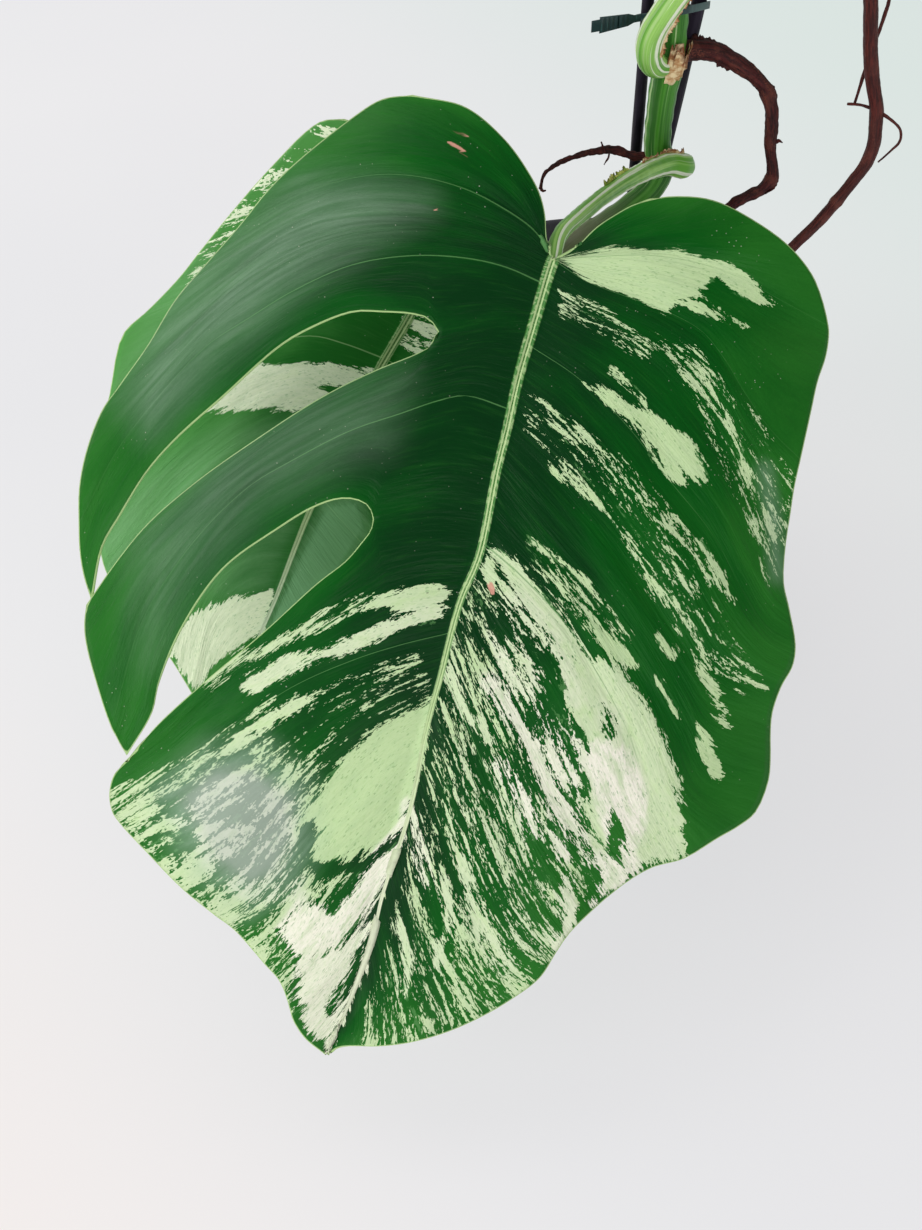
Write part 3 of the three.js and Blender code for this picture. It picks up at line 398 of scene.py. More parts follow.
class Ray:
    """A vein or split as curves on the sheet, with the run of margin that follows it."""

    MIDRIB_MARKS = 601
    WIDEST_RIB = 0.3

    def __init__(self, entry: Union[Vein, Split], midrib: SmoothCurve) -> None:
        """Fits the entry's curves.

        Args:
            entry: the vein or split.
            midrib: the leaf's midrib, where it starts.
        """
        self.entry = entry
        self.split = isinstance(entry, Split)
        start, *path = entry.root if self.split else entry.path
        marks = np.linspace(0, 1, self.MIDRIB_MARKS)
        nearest = int(np.argmin(np.linalg.norm(midrib.along(marks) - np.array(start, float), axis=1)))
        self.station = 0.0 if marks[nearest] < FAN_SHARE else float(marks[nearest])
        foot = tuple(midrib.along(self.station)[0])
        self.root = SmoothCurve([foot, *path])
        self.edges = {}
        if self.split:
            sides = {"upper": entry.upper, "lower": entry.lower}
            self.edges = {side: SmoothCurve([path[-1], *points]) for side, points in sides.items()}
        self.rim: Callable[[Array], Array] = midrib.at
        self.rim_length = 0.0

    def end(self, side: str) -> tuple[float, float]:
        """Where the ray's edge on that side meets the margin."""
        return tuple(getattr(self.entry, side)[-1]) if self.split else tuple(self.entry.path[-1])

    def reach(self, side: str) -> float:
        """The ray's length out to the margin, in sheet steps."""
        return self.root.length + (self.edges[side].length if self.split else 0.0)

    def rows(self, side: str, rows: Array) -> Array:
        """The ray's points at the grid's rows.

        Args:
            side: "lower" for the panel after the ray, "upper" for the one before.
            rows: row shares from the midrib to the margin.

        Returns:
            Sheet points, one row each.
        """
        rib = RIB_HALF * (1 - RIB_TAPER * self.station) * LEAF_SCALE
        rib_share = min(rib / self.root.length, self.WIDEST_RIB)
        root_row = SPLIT_ROW if self.split else 1.0
        points = self.root.along(np.interp(rows, [0, RIB_ROW, root_row], [0, rib_share, 1]))
        if self.split:
            outer = rows > SPLIT_ROW
            points[outer] = self.edges[side].along((rows[outer] - SPLIT_ROW) / (1 - SPLIT_ROW))
        return points


class BladeGrid:
    """A leaf's rays and the grid between them."""

    def __init__(self, outline: Outline, rows: Array, rim_step: float, step: float) -> None:
        """Fits the leaf's curves and chooses where its columns meet the midrib.

        Args:
            outline: the leaf on the sheet.
            rows: row shares from the midrib to the margin.
            rim_step: the widest step between two columns along the margin, on the sheet.
            step: the widest step between two columns along the midrib, as a share of it.
        """
        self.rows = rows
        self.rim_step = rim_step
        self.midrib = SmoothCurve(outline.midrib)
        self.halves = [self._rays(half) for half in (outline.left, outline.right)]
        self.stations = self._stations(step)

    def _rays(self, half: Sequence[Union[Vein, Split]]) -> list[Ray]:
        """Fits a half's rays and gives each its run of margin.

        Args:
            half: the half's veins and splits, from the sinus round to the tip.

        Returns:
            The rays in the same order.
        """
        rays = [Ray(entry, self.midrib) for entry in half]
        tip = tuple(self.midrib.along(1.0)[0])
        points: list = []
        panels: list = []
        for i, (entry, ray) in enumerate(zip(half, rays)):
            if not points:
                points = [ray.end("lower")]
            start = len(points) - 1
            after = rays[i + 1] if i + 1 < len(rays) else None
            points += [*entry.rim, after.end("upper") if after else tip]
            panels.append((ray, start, len(points) - 1))
            if after is None or after.split:
                curve = SmoothCurve(points)
                for member, first, last in panels:
                    run = points[first:last + 1]
                    member.rim = self._rim_reader(curve, first, last, len(points) - 1)
                    member.rim_length = sum(math.dist(a, b) for a, b in zip(run, run[1:]))
                points, panels = [], []
        return rays

    @staticmethod
    def _rim_reader(curve: SmoothCurve, first: int, last: int, spans: int) -> Callable[[Array], Array]:
        """A reader of one panel's run of margin, from 0 to 1."""
        return lambda u: curve.at((first + (last - first) * np.asarray(u)) / spans)

    def _stations(self, step: float) -> Array:
        """Chooses where the columns of both halves meet the midrib.

        Args:
            step: the widest step between two of them, as a share of the midrib.

        Returns:
            Shares of the midrib, short of 1.
        """
        found = {0.0, 1.0}
        found.update(ray.station for half in self.halves for ray in half)
        for half in self.halves:
            for i, ray in enumerate(half):
                start = ray.station
                end = half[i + 1].station if i + 1 < len(half) else 1.0
                spans = sum(start < m < end for m in found) + 1
                wanted = math.ceil(ray.rim_length / self.rim_step)
                if end > start and spans < wanted:
                    found.update(start + (end - start) * k / wanted for k in range(1, wanted))
        stations = sorted(found)
        filled = []
        for start, end in zip(stations, stations[1:]):
            filled += list(np.linspace(start, end, max(1, math.ceil((end - start) / step)), endpoint=False))
        return np.array(filled)

    def panels(self, side: int, unit: float) -> list[Lie]:
        """A half's panels, each between two neighbouring rays.

        Args:
            side: 0 for the left half, 1 for the right.
            unit: millimetres per sheet step.

        Returns:
            The lie of each panel's points, in arrays of columns by rows.
        """
        rays = self.halves[side]
        tip = self.midrib.along(1.0)
        whole = sum(ray.rim_length for ray in rays)
        made = []
        rim_before = across_before = 0.0
        v = self.rows[None, :, None]
        for i, ray in enumerate(rays):
            after = rays[i + 1] if i + 1 < len(rays) else None
            start, end = ray.station, after.station if after else 1.0
            if end == start:
                marks = np.linspace(0, 1, math.ceil(ray.rim_length / self.rim_step) + 1)
            else:
                between = self.stations[(self.stations > start + 1e-9) & (self.stations < end - 1e-9)]
                marks = np.concatenate([[0], (between - start) / (end - start), [1]])
            u = marks[:, None, None]
            bottom = self.midrib.along(start + (end - start) * marks)[:, None]
            top = ray.rim(marks)[:, None]
            near = ray.rows("lower", self.rows)[None]
            far = after.rows("upper", self.rows)[None] if after else tip[None]
            at_rib = bottom - (1 - u) * bottom[:1] - u * bottom[-1:]
            at_rim = top - (1 - u) * top[:1] - u * top[-1:]
            sheet = (1 - u) * near + u * far + (1 - v) ** 3 * at_rib + v**3 * at_rim
            apart = np.linalg.norm(far - near, axis=2)
            swell = (4 * u[..., 0] * (1 - u[..., 0])) ** 2 * np.minimum(1, apart / Bend.quilt_width) ** 2
            width = float(apart.mean()) * unit
            reach = (1 - marks) * ray.reach("lower") + marks * (after.reach("upper") if after else 0)
            station, row, turn, swell, across, along = np.broadcast_arrays(
                (start + (end - start) * marks)[:, None],
                self.rows[None],
                ((rim_before + marks * ray.rim_length) / whole)[:, None],
                swell,
                (across_before + marks * width)[:, None],
                reach[:, None] * self.rows[None] * unit,
            )
            made.append(Lie(sheet, station, row, turn, swell, across, along, np.zeros(row.shape)))
            rim_before += ray.rim_length
            across_before += width
        return made

    def margin(self) -> list[Array]:
        """The lines that bound the blade: margins, the sinus's sides and the splits' edges."""
        shares = np.linspace(0, 1, 61)
        lines = []
        for rays in self.halves:
            lines.append(rays[0].root.along(shares))
            for ray in rays:
                lines.append(ray.rim(shares[::4]))
                lines += [edge.along(shares) for edge in ray.edges.values()]
        return lines

    def creases(self) -> list[tuple[Array, float]]:
        """The side veins that show, as lines of sheet points, each with how pale it is."""
        shares = np.linspace(0, 1, 41)
        return [
            (ray.root.along(shares), ray.entry.pale)
            for rays in self.halves
            for ray in rays[1:]
            if not ray.split and ray.entry.pale > 0
        ]


def distance_to(points: Array, lines: Sequence[Array]) -> Array:
    """The distance from points to the nearest of some lines.

    Args:
        points: rows of x, y.
        lines: arrays of x, y rows.

    Returns:
        One distance for each point.
    """
    best = np.full(len(points), np.inf)
    for line in lines:
        for a, b in zip(line[:-1], line[1:]):
            run = b - a
            size = max(float(run @ run), 1e-9)
            share = np.clip(((points - a) @ run) / size, 0, 1)
            gap = points - a - share[:, None] * run
            best = np.minimum(best, np.einsum("ij,ij->i", gap, gap))
    return np.sqrt(best)


def inside(points: Array, outline: Points) -> Array:
    """Signed distance to a closed outline, above 0 inside.

    Args:
        points: rows of x, y.
        outline: the outline's corners in order.

    Returns:
        One distance for each point.
    """
    ring = np.array([*outline, outline[0]], float)
    x, y = points[:, 0], points[:, 1]
    within = np.zeros(len(points), bool)
    for (ax, ay), (bx, by) in zip(ring[:-1], ring[1:]):
        if ay == by:
            continue
        crosses = (ay > y) != (by > y)
        within ^= crosses & (x < (bx - ax) * (y - ay) / (by - ay) + ax)
    return np.where(within, 1.0, -1.0) * distance_to(points, [ring])


def smooth(value: Array) -> Array:
    """A smooth step from 0 at 0 to 1 at 1."""
    w = np.clip(value, 0, 1)
    return w * w * (3 - 2 * w)


class Lay(Enum):
    """What a marking does to the blade's field: pale tissue, green tissue, or a mix of both."""

    PALE = 1
    GREEN = 2
    MIXED = 3


@dataclass(frozen=True)
class Mark:
    """One marking, on the sheet. A closed outline, or a stroke with a half WIDTH.

    TONE runs from cream-green at 0 to white at 1, and RAGGED is how far its edge is torn in millimetres.
    COVER is how much of a mixed one is pale, from -1 for none to 1 for all, and FEATHER how wide its edge
    fades.
    """

    points: Points
    lay: Lay = Lay.PALE
    tone: float = 0.25
    ragged: float = 1.3
    cover: float = 0.0
    width: float = 0.0
    feather: float = 5.0

    def reach(self, sheet: Array, unit: float) -> Array:
        """Signed distance to the marking's edge in millimetres, above 0 inside.

        Args:
            sheet: rows of x, y.
            unit: millimetres per sheet step.

        Returns:
            One distance for each point.
        """
        if self.width:
            return (self.width - distance_to(sheet, [np.array(self.points, float)])) * unit
        return inside(sheet, self.points) * unit


@dataclass(frozen=True)
class Pattern:
    """A leaf's markings in the order that they are laid over green, its blemishes and its painted sheen."""

    marks: Sequence[Mark]
    blemishes: Sequence[Mark] = ()
    painted_sheens: Sequence[Mark] = ()

    def fields(self, sheet: Array, unit: float) -> Array:
        """Lays the markings one over the other.

        Args:
            sheet: rows of x, y.
            unit: millimetres per sheet step.

        Returns:
            Rows of field, raggedness and tone.
        """
        pale = np.full(len(sheet), -FAR)
        ragged = np.full(len(sheet), PLAIN_RAGGED)
        tone = np.full(len(sheet), PLAIN_TONE)
        for mark in self.marks:
            reach = mark.reach(sheet, unit)
            if mark.lay is Lay.MIXED:
                w = smooth(reach / mark.feather + 0.5)
                pale = pale + (mark.cover * mark.ragged - pale) * w
            elif mark.lay is Lay.PALE:
                w = smooth(reach / 2 + 1.5)
                pale = np.maximum(pale, np.minimum(reach, FAR))
            else:
                w = smooth(reach / 2 + 1.5)
                pale = np.minimum(pale, np.maximum(-reach, -FAR))
            ragged += (mark.ragged - ragged) * w
            tone += (mark.tone - tone) * w * (mark.lay is not Lay.GREEN)
        return np.stack([np.clip(pale, -FAR, FAR), ragged, tone], axis=1)

    def scars(self, sheet: Array, unit: float) -> Array:
        """How far each point lies outside the nearest blemish, in millimetres."""
        nearest = np.full(len(sheet), FAR)
        for mark in self.blemishes:
            nearest = np.minimum(nearest, 0.5 - mark.reach(sheet, unit))
        return nearest

    def painted_sheen(self, sheet: Array, unit: float) -> Array:
        """How strong the painted sheen is at each point, from 0 to 1."""
        strongest = np.zeros(len(sheet))
        for mark in self.painted_sheens:
            share = smooth(mark.reach(sheet, unit) / mark.feather + 0.5)
            strongest = np.maximum(strongest, mark.cover * share)
        return strongest


PATTERN_A = Pattern([
    Mark([(556, 286), (600, 300), (642, 328), (662, 350), (650, 368), (612, 352), (575, 335), (556, 318)],
        Lay.MIXED, cover=-0.3, ragged=2.2),
    Mark([(640, 318), (700, 345), (745, 400), (790, 440), (806, 420), (790, 560), (762, 600), (738, 520),
        (705, 440), (690, 400)], Lay.MIXED, cover=-0.62, ragged=2.6),
    Mark([(742, 385), (768, 410), (776, 470), (770, 540), (752, 500), (744, 440)], Lay.MIXED, cover=-0.15,
        ragged=2.2),
    Mark([(524, 388), (560, 402), (596, 430), (650, 470), (700, 545), (752, 620), (700, 600), (650, 545),
        (600, 512), (556, 470), (522, 430)], Lay.MIXED, cover=-0.3, ragged=3.0),
    Mark([(600, 500), (660, 540), (735, 620), (775, 690), (740, 700), (690, 660), (640, 590)], Lay.MIXED,
        cover=-0.45, ragged=2.6),
    Mark([(520, 530), (560, 552), (600, 592), (640, 640), (600, 640), (560, 610), (520, 570)], Lay.MIXED,
        cover=-0.2, ragged=3.0),
    Mark([(452, 604), (484, 548), (512, 580), (560, 640), (600, 700), (630, 780), (640, 850), (616, 922),
        (576, 972), (512, 1032), (425, 1058), (340, 1062), (372, 980), (400, 880), (420, 800), (438, 710)],
        Lay.MIXED, cover=-0.24, ragged=3.6),
    Mark([(530, 650), (575, 690), (610, 760), (628, 850), (590, 880), (560, 800), (530, 720)], Lay.MIXED,
        cover=0.0, ragged=3.4, tone=0.8),
    Mark([(455, 740), (520, 760), (560, 850), (560, 940), (500, 980), (450, 900)], Lay.MIXED, cover=-0.3,
        ragged=3.0, tone=0.4),
    Mark([(98, 792), (180, 756), (262, 700), (330, 680), (420, 645), (434, 690), (372, 730), (320, 790),
        (300, 840), (320, 875), (360, 868), (400, 842), (384, 900), (340, 960), (292, 1022), (250, 976),
        (198, 926), (136, 866)], Lay.MIXED, cover=-0.25, ragged=3.2),
    Mark([(262, 700), (330, 682), (425, 650), (432, 690), (370, 732), (330, 765), (280, 760)], Lay.MIXED,
        cover=-0.75, ragged=2.2),
    Mark([(160, 800), (230, 770), (300, 790), (296, 850), (310, 900), (250, 905), (190, 860)], Lay.MIXED,
        cover=-0.12, ragged=3.0, tone=0.6),
    Mark([(98, 792), (140, 778), (160, 800), (215, 880), (262, 950), (280, 1000), (240, 960), (140, 872)],
        Lay.MIXED, cover=0.2, ragged=2.8, tone=0.3),
    Mark([(561, 259), (602, 250), (679, 249), (705, 259), (726, 262), (749, 279), (773, 303), (779, 307),
        (757, 305), (733, 292), (717, 276), (704, 292), (690, 296), (679, 300), (667, 312), (626, 297),
        (587, 282)], tone=0.15),
    Mark([(672, 299), (702, 303), (727, 316), (746, 327), (720, 318), (694, 308)], tone=0.1),
    Mark([(584, 382), (606, 388), (632, 404), (664, 420), (690, 438), (704, 462), (710, 486), (694, 476),
        (670, 460), (648, 440), (620, 414), (598, 398)], tone=0.15, ragged=1.4),
    Mark([(644, 446), (664, 453), (684, 468), (694, 488), (674, 482), (656, 466)], tone=0.15, ragged=1.2),
    Mark([(612, 370), (628, 384), (644, 397)], width=3, tone=0.15),
    Mark([(623, 503), (636, 512), (648, 527)], width=3.5, tone=0.2),
    Mark([(648, 578), (662, 590), (676, 606)], width=3.5, tone=0.2),
    Mark([(529, 540), (556, 558), (586, 582)], width=4, tone=0.2),
    Mark([(552, 470), (580, 490), (600, 506)], width=3, tone=0.2),
    Mark([(584, 622), (600, 630), (625, 645), (640, 668), (622, 668), (604, 650)], tone=0.15),
    Mark([(658, 637), (665, 646), (674, 655)], width=4, tone=0.15),
    Mark([(655, 678), (666, 694), (676, 715)], width=3.5, tone=0.15),
    Mark([(696, 724), (708, 736), (718, 758), (722, 784), (708, 774), (698, 750)], tone=0.15, ragged=1.2),
    Mark([(700, 660), (714, 690), (724, 724)], width=4, tone=0.2, ragged=3.0),
    Mark([(728, 420), (742, 450), (750, 486)], width=3.5, tone=0.2, ragged=2.6),
    Mark([(700, 540), (712, 560), (724, 580)], width=4, tone=0.2),
    Mark([(490, 542), (514, 557), (545, 590), (570, 628), (590, 660), (620, 666), (646, 704), (667, 748),
        (679, 784), (685, 820), (682, 858), (640, 866), (600, 900), (628, 850), (596, 845), (584, 800),
        (590, 740), (560, 700), (556, 660), (520, 600)], tone=0.35, ragged=2.4),
    Mark([(590, 750), (612, 744), (630, 760), (641, 790), (640, 825), (628, 852), (612, 840), (600, 800)],
        tone=1.0, ragged=1.4),
    Mark([(590, 905), (604, 862), (622, 850), (640, 868), (612, 892)], tone=0.9, ragged=2.0),
    Mark([(610, 812), (624, 830), (620, 862), (606, 850)], Lay.GREEN, ragged=1.6),
    Mark([(449, 592), (440, 588), (412, 590), (380, 592), (352, 602), (318, 615), (345, 612), (380, 606),
        (408, 612), (440, 612)], tone=0.3, ragged=2.0),
    Mark([(448, 606), (436, 620), (400, 634), (352, 650), (320, 662), (262, 690), (240, 690), (245, 676),
        (290, 655), (330, 645), (380, 625), (412, 610)], tone=0.45, ragged=1.8),
    Mark([(206, 685), (240, 662), (300, 632), (340, 618)], width=3, tone=0.3, ragged=2.6),
    Mark([(240, 740), (275, 715), (310, 700)], width=4, tone=0.3, ragged=2.8),
    Mark([(435, 697), (400, 715), (368, 733), (338, 760), (322, 790), (306, 816), (318, 828), (310, 858),
        (338, 862), (368, 850), (396, 838), (408, 815), (425, 760)], tone=0.1, ragged=1.9),
    Mark([(412, 812), (398, 845), (384, 885), (360, 925), (335, 952), (300, 960), (281, 930), (300, 905),
        (332, 912), (360, 880), (380, 850), (400, 828)], tone=0.9, ragged=1.6),
    Mark([(335, 950), (368, 925), (372, 950), (350, 1000), (330, 1050), (306, 1030), (296, 990),
        (300, 955)], tone=0.75, ragged=2.2),
    Mark([(370, 935), (352, 975), (346, 1000), (358, 985)], Lay.GREEN, width=3.5, ragged=2.4),
    Mark([(398, 838), (372, 856), (350, 868)], Lay.GREEN, width=4, ragged=2.6),
    Mark([(340, 985), (330, 1010)], Lay.GREEN, width=2.5, ragged=2.4),
    Mark([(300, 1030), (330, 1046), (326, 1056), (306, 1040)], Lay.GREEN, ragged=1.8),
    Mark([(488, 552), (496, 560), (497, 588), (488, 590), (482, 570)], tone=0.3, ragged=1.4),
    Mark([(491, 683), (534, 748), (556, 810), (565, 852)], width=6, tone=0.8, ragged=2.4),
    Mark([(449, 672), (467, 712), (489, 739)], width=5, tone=0.4, ragged=1.8),
    Mark([(520, 600), (547, 627), (563, 667), (578, 700)], width=4, tone=0.5, ragged=2.4),
    Mark([(496, 628), (507, 668), (530, 700)], width=4, tone=0.6, ragged=2.4),
    Mark([(502, 765), (525, 801), (534, 836)], width=4, tone=0.9, ragged=2.6),
    Mark([(409, 806), (418, 846), (427, 884)], width=4, tone=0.7, ragged=2.4),
    Mark([(445, 881), (447, 926), (436, 966)], width=4, tone=0.4, ragged=2.2),
    Mark([(467, 895), (474, 912), (478, 930)], width=3.5, tone=0.4, ragged=1.8),
    Mark([(400, 926), (409, 962), (407, 995)], width=5, tone=0.4, ragged=2.2),
    Mark([(565, 881), (571, 913), (560, 946)], width=5, tone=0.6, ragged=2.0),
    Mark([(544, 636), (560, 658), (566, 700), (556, 718), (542, 690), (536, 656)], Lay.MIXED, cover=-0.5,
        ragged=2.6, tone=0.5),
    Mark([(496, 584), (522, 604), (542, 650), (528, 676), (502, 644)], Lay.MIXED, cover=-0.35, ragged=3.0,
        tone=0.5),
    Mark([(606, 690), (622, 720), (618, 748), (600, 736), (596, 706)], Lay.MIXED, cover=-0.1, ragged=2.6,
        tone=0.5),
    Mark([(470, 600), (486, 640), (480, 660), (466, 640)], Lay.GREEN, ragged=1.8),
], blemishes=[
    Mark([(448, 126), (456, 132), (468, 138)], width=1.3),
    Mark([(448, 143), (455, 146), (464, 152)], width=1.7),
    Mark([(458, 151), (470, 158)], width=0.9),
    Mark([(433, 209), (439, 210)], width=1.3),
    Mark([(490, 584), (493, 592)], width=3.0),
], painted_sheens=[
    # Painted sheen: grey-green glazes where the waxy face reflects the light, on the lower left lobe, the
    # top lobe, the lobe between the splits and along the right margin.
    Mark([(158, 792), (205, 752), (262, 748), (308, 790), (312, 840), (292, 884), (250, 908), (200, 872)],
        cover=0.66, feather=22),
    Mark([(150, 330), (215, 255), (300, 182), (370, 186), (420, 205), (370, 235), (290, 290), (220, 350),
        (150, 425), (130, 400)], cover=0.42, feather=30),
    Mark([(130, 540), (190, 470), (300, 405), (400, 380), (380, 440), (260, 500), (180, 590), (150, 660)],
        cover=0.24, feather=30),
    Mark([(764, 470), (773, 520), (776, 575)], width=7, cover=0.36, feather=7),
])

PATTERN_B = Pattern([
    Mark([(250, 130), (345, 118), (330, 190), (250, 260), (180, 290)], Lay.MIXED, cover=-0.4, ragged=2.6),
    Mark([(400, 310), (440, 310), (450, 345), (420, 365), (395, 345)], Lay.MIXED, cover=-0.2, ragged=2.6),
    Mark([(228, 372), (270, 364), (330, 366), (375, 372), (352, 398), (310, 412), (262, 408), (205, 412)],
        tone=0.35, ragged=1.6),
    Mark([(318, 384), (350, 388), (336, 402)], Lay.GREEN, ragged=1.6),
    Mark([(413, 322), (424, 334), (437, 350)], width=4, tone=0.3, ragged=2.2),
    Mark([(168, 640), (196, 612), (240, 596), (275, 588), (262, 632), (236, 650), (210, 668), (196, 690),
        (180, 670)], tone=0.25, ragged=1.4),
], painted_sheens=[
    # Painted light on leaf B: lighter patches that make up for the shade that leaf A casts on it.
    Mark([(322, 500), (292, 560), (258, 640), (320, 610), (372, 530), (360, 495)], cover=0.66, feather=8),
    Mark([(150, 600), (190, 540), (250, 505), (305, 500), (270, 590), (200, 600)], cover=0.3, feather=10),
    Mark([(95, 540), (140, 480), (230, 425), (330, 415), (290, 470), (220, 520), (150, 610), (110, 610)],
        cover=0.42, feather=16),
    Mark([(206, 244), (147, 312), (110, 394), (97, 470), (120, 420), (160, 340), (225, 262)], cover=0.25,
        feather=12),
])


PATTERN_C = Pattern([
    Mark([(553, 262), (640, 300), (730, 380), (800, 480), (790, 600), (770, 720), (640, 860), (480, 1020),
        (350, 1046), (400, 860), (470, 580), (520, 370)], Lay.MIXED, cover=-0.35, ragged=3.0),
    Mark([(553, 262), (470, 200), (380, 150), (240, 230), (180, 330), (330, 300), (500, 290)], Lay.MIXED,
        cover=-0.6, ragged=2.6),
    Mark([(520, 370), (600, 430), (690, 540), (760, 640), (740, 700), (650, 640), (560, 540), (508, 430)],
        tone=0.3, ragged=2.0),
    Mark([(440, 680), (500, 760), (560, 860), (580, 930), (520, 960), (450, 860), (425, 760)], tone=0.8,
        ragged=2.4),
    Mark([(480, 560), (400, 590), (300, 640), (200, 720), (260, 700), (370, 640), (462, 600)], tone=0.4,
        ragged=2.0),
    Mark([(400, 850), (340, 900), (290, 960), (320, 1030), (360, 960)], Lay.MIXED, cover=0.1, ragged=3.0),
])

PATTERN_D = Pattern([
    Mark([(553, 262), (420, 100), (260, 200), (110, 390), (90, 560), (300, 330), (520, 330)], Lay.MIXED,
        cover=-0.25, ragged=3.2),
    Mark([(553, 262), (700, 210), (820, 290), (790, 480), (680, 420), (560, 320)], Lay.MIXED, cover=-0.7,
        ragged=2.4),
    Mark([(430, 720), (380, 740), (250, 840), (220, 900), (290, 1000), (330, 1046), (380, 900)], Lay.MIXED,
        cover=-0.1, ragged=3.4),
    Mark([(553, 262), (500, 215), (400, 165), (300, 180), (200, 262), (330, 222), (450, 230)], tone=0.25,
        ragged=1.8),
    Mark([(490, 500), (560, 560), (650, 680), (700, 790), (650, 850), (590, 740), (480, 560)], tone=0.2,
        ragged=1.8),
    Mark([(410, 815), (470, 890), (510, 980), (420, 1030), (380, 920)], tone=0.9, ragged=2.2),
    Mark([(505, 425), (420, 420), (300, 480), (230, 540), (350, 470), (480, 450)], tone=0.5, ragged=1.6),
])

BEND_A = Bend(arch=18, fold=0.22, curl=0.0034, tilt=0, wave=2.5, waves=6, lobes=0.0035)
BEND_B = Bend(arch=8, fold=0.16, curl=0.0022, tilt=0.1, wave=1.5, waves=4, lobes=0.0016, quilt=0.8,
              ripple=0.25)
BEND_C = Bend(arch=16, fold=0.18, curl=0.003, tilt=0.12, wave=3, waves=5, lobes=0.002)
BEND_D = Bend(arch=20, fold=0.22, curl=0.0028, tilt=0.1, wave=3.5, waves=6, lobes=0.002)


class Place:
    """Where a leaf stands, UNIT millimetres to a sheet step, its face to the FRONT and hanging DOWN."""

    unit: float
    front: Array
    down: Array

    def flat(self, outline: Outline, lie: Lie) -> tuple[Array, Array, float]:
        """Where the blade's points lie in its flat state.

        Args:
            outline: the leaf on the sheet.
            lie: each point's place in the leaf.

        Returns:
            Millimetres along the midrib's straight line and across it, and the line's length.
        """
        start, tip = np.array(outline.midrib[0], float), np.array(outline.midrib[-1], float)
        length = float(np.linalg.norm(tip - start))
        way = (tip - start) / length
        step = lie.sheet - start
        across = step[:, 0] * way[1] - step[:, 1] * way[0]
        return step @ way * self.unit, across * self.unit, length * self.unit


@dataclass(frozen=True)
class SightPlace(Place):
    """Stands a leaf on lines of sight, DEPTH millimetres in front of the eye."""

    depth: float

    @property
    def unit(self) -> float:
        """Millimetres per sheet step."""
        return self.depth / SIGHT.steps

    @property
    def front(self) -> Array:
        """The way the leaf's face looks."""
        return -SIGHT.forward

    @property
    def down(self) -> Array:
        """The way the leaf hangs."""
        return -SIGHT.up

    def foot(self, outline: Outline) -> Array:
        """Where the midrib starts, in millimetres."""
        x, y = outline.midrib[0]
        return SIGHT.seen(np.array([x]), np.array([y]), np.array([self.depth]))[0]

    def set_out(self, outline: Outline, bend: Bend, lie: Lie) -> Array:
        """Bends the blade and stands it in its place.

        Args:
            outline: the leaf on the sheet.
            bend: how it bends.
            lie: each point's place in the leaf.

        Returns:
            The blade's points in millimetres, one row each.
        """
        return SIGHT.seen(*lie.sheet.T, self.depth + bend.depth(*self.flat(outline, lie), lie))


@dataclass(frozen=True)
class FreePlace(Place):
    """Stands a leaf of leaf A's outline anywhere.

    BASE is where its stalk meets it, MIDRIB the way it points, FACE the way its upper side looks, SIZE its
    share of leaf A and HAND -1 for one turned over sideways.
    """

    base: Spot
    midrib: Spot
    face: Spot
    size: float
    hand: int

    @property
    def unit(self) -> float:
        """Millimetres per sheet step."""
        return self.size / LEAF_SCALE

    @property
    def down(self) -> Array:
        """The midrib's unit way."""
        return np.array(self.midrib) / np.linalg.norm(self.midrib)

    @property
    def front(self) -> Array:
        """The way the leaf's face looks, square to the midrib."""
        face = np.array(self.face) - self.down * float(self.down @ np.array(self.face))
        return face / np.linalg.norm(face)

    def foot(self, _outline: Outline) -> Array:
        """Where the midrib starts, in millimetres."""
        return np.array(self.base)

    def set_out(self, outline: Outline, bend: Bend, lie: Lie) -> Array:
        """Bends the blade and stands it in its place.

        Args:
            outline: the leaf on the sheet.
            bend: how it bends.
            lie: each point's place in the leaf.

        Returns:
            The blade's points in millimetres, one row each.
        """
        along, across, length = self.flat(outline, lie)
        behind = bend.depth(along, across, length, lie)[:, None] * self.front
        side = np.cross(self.front, self.down) * self.hand
        return np.array(self.base) + along[:, None] * self.down + across[:, None] * side - behind


PLACE_A = SightPlace(560.0)
PLACE_B = SightPlace(632.0)
PLACE_C = FreePlace((130, -10, 450), (0.8, 0.1, -0.6), (0.58, -0.2, 0.79), 0.85, -1)
PLACE_D = FreePlace((-40, 80, 500), (-0.55, 0.6, -0.58), (-0.4, 0.42, 0.815), 0.95, 1)


def srgb(red: int, green: int, blue: int) -> Colour:
    """A linear colour from display values of 0 to 255."""
    shares = (red / 255, green / 255, blue / 255)
    return tuple(((c + 0.055) / 1.055) ** 2.4 if c > 10 / 255 else c / 12.92 for c in shares)


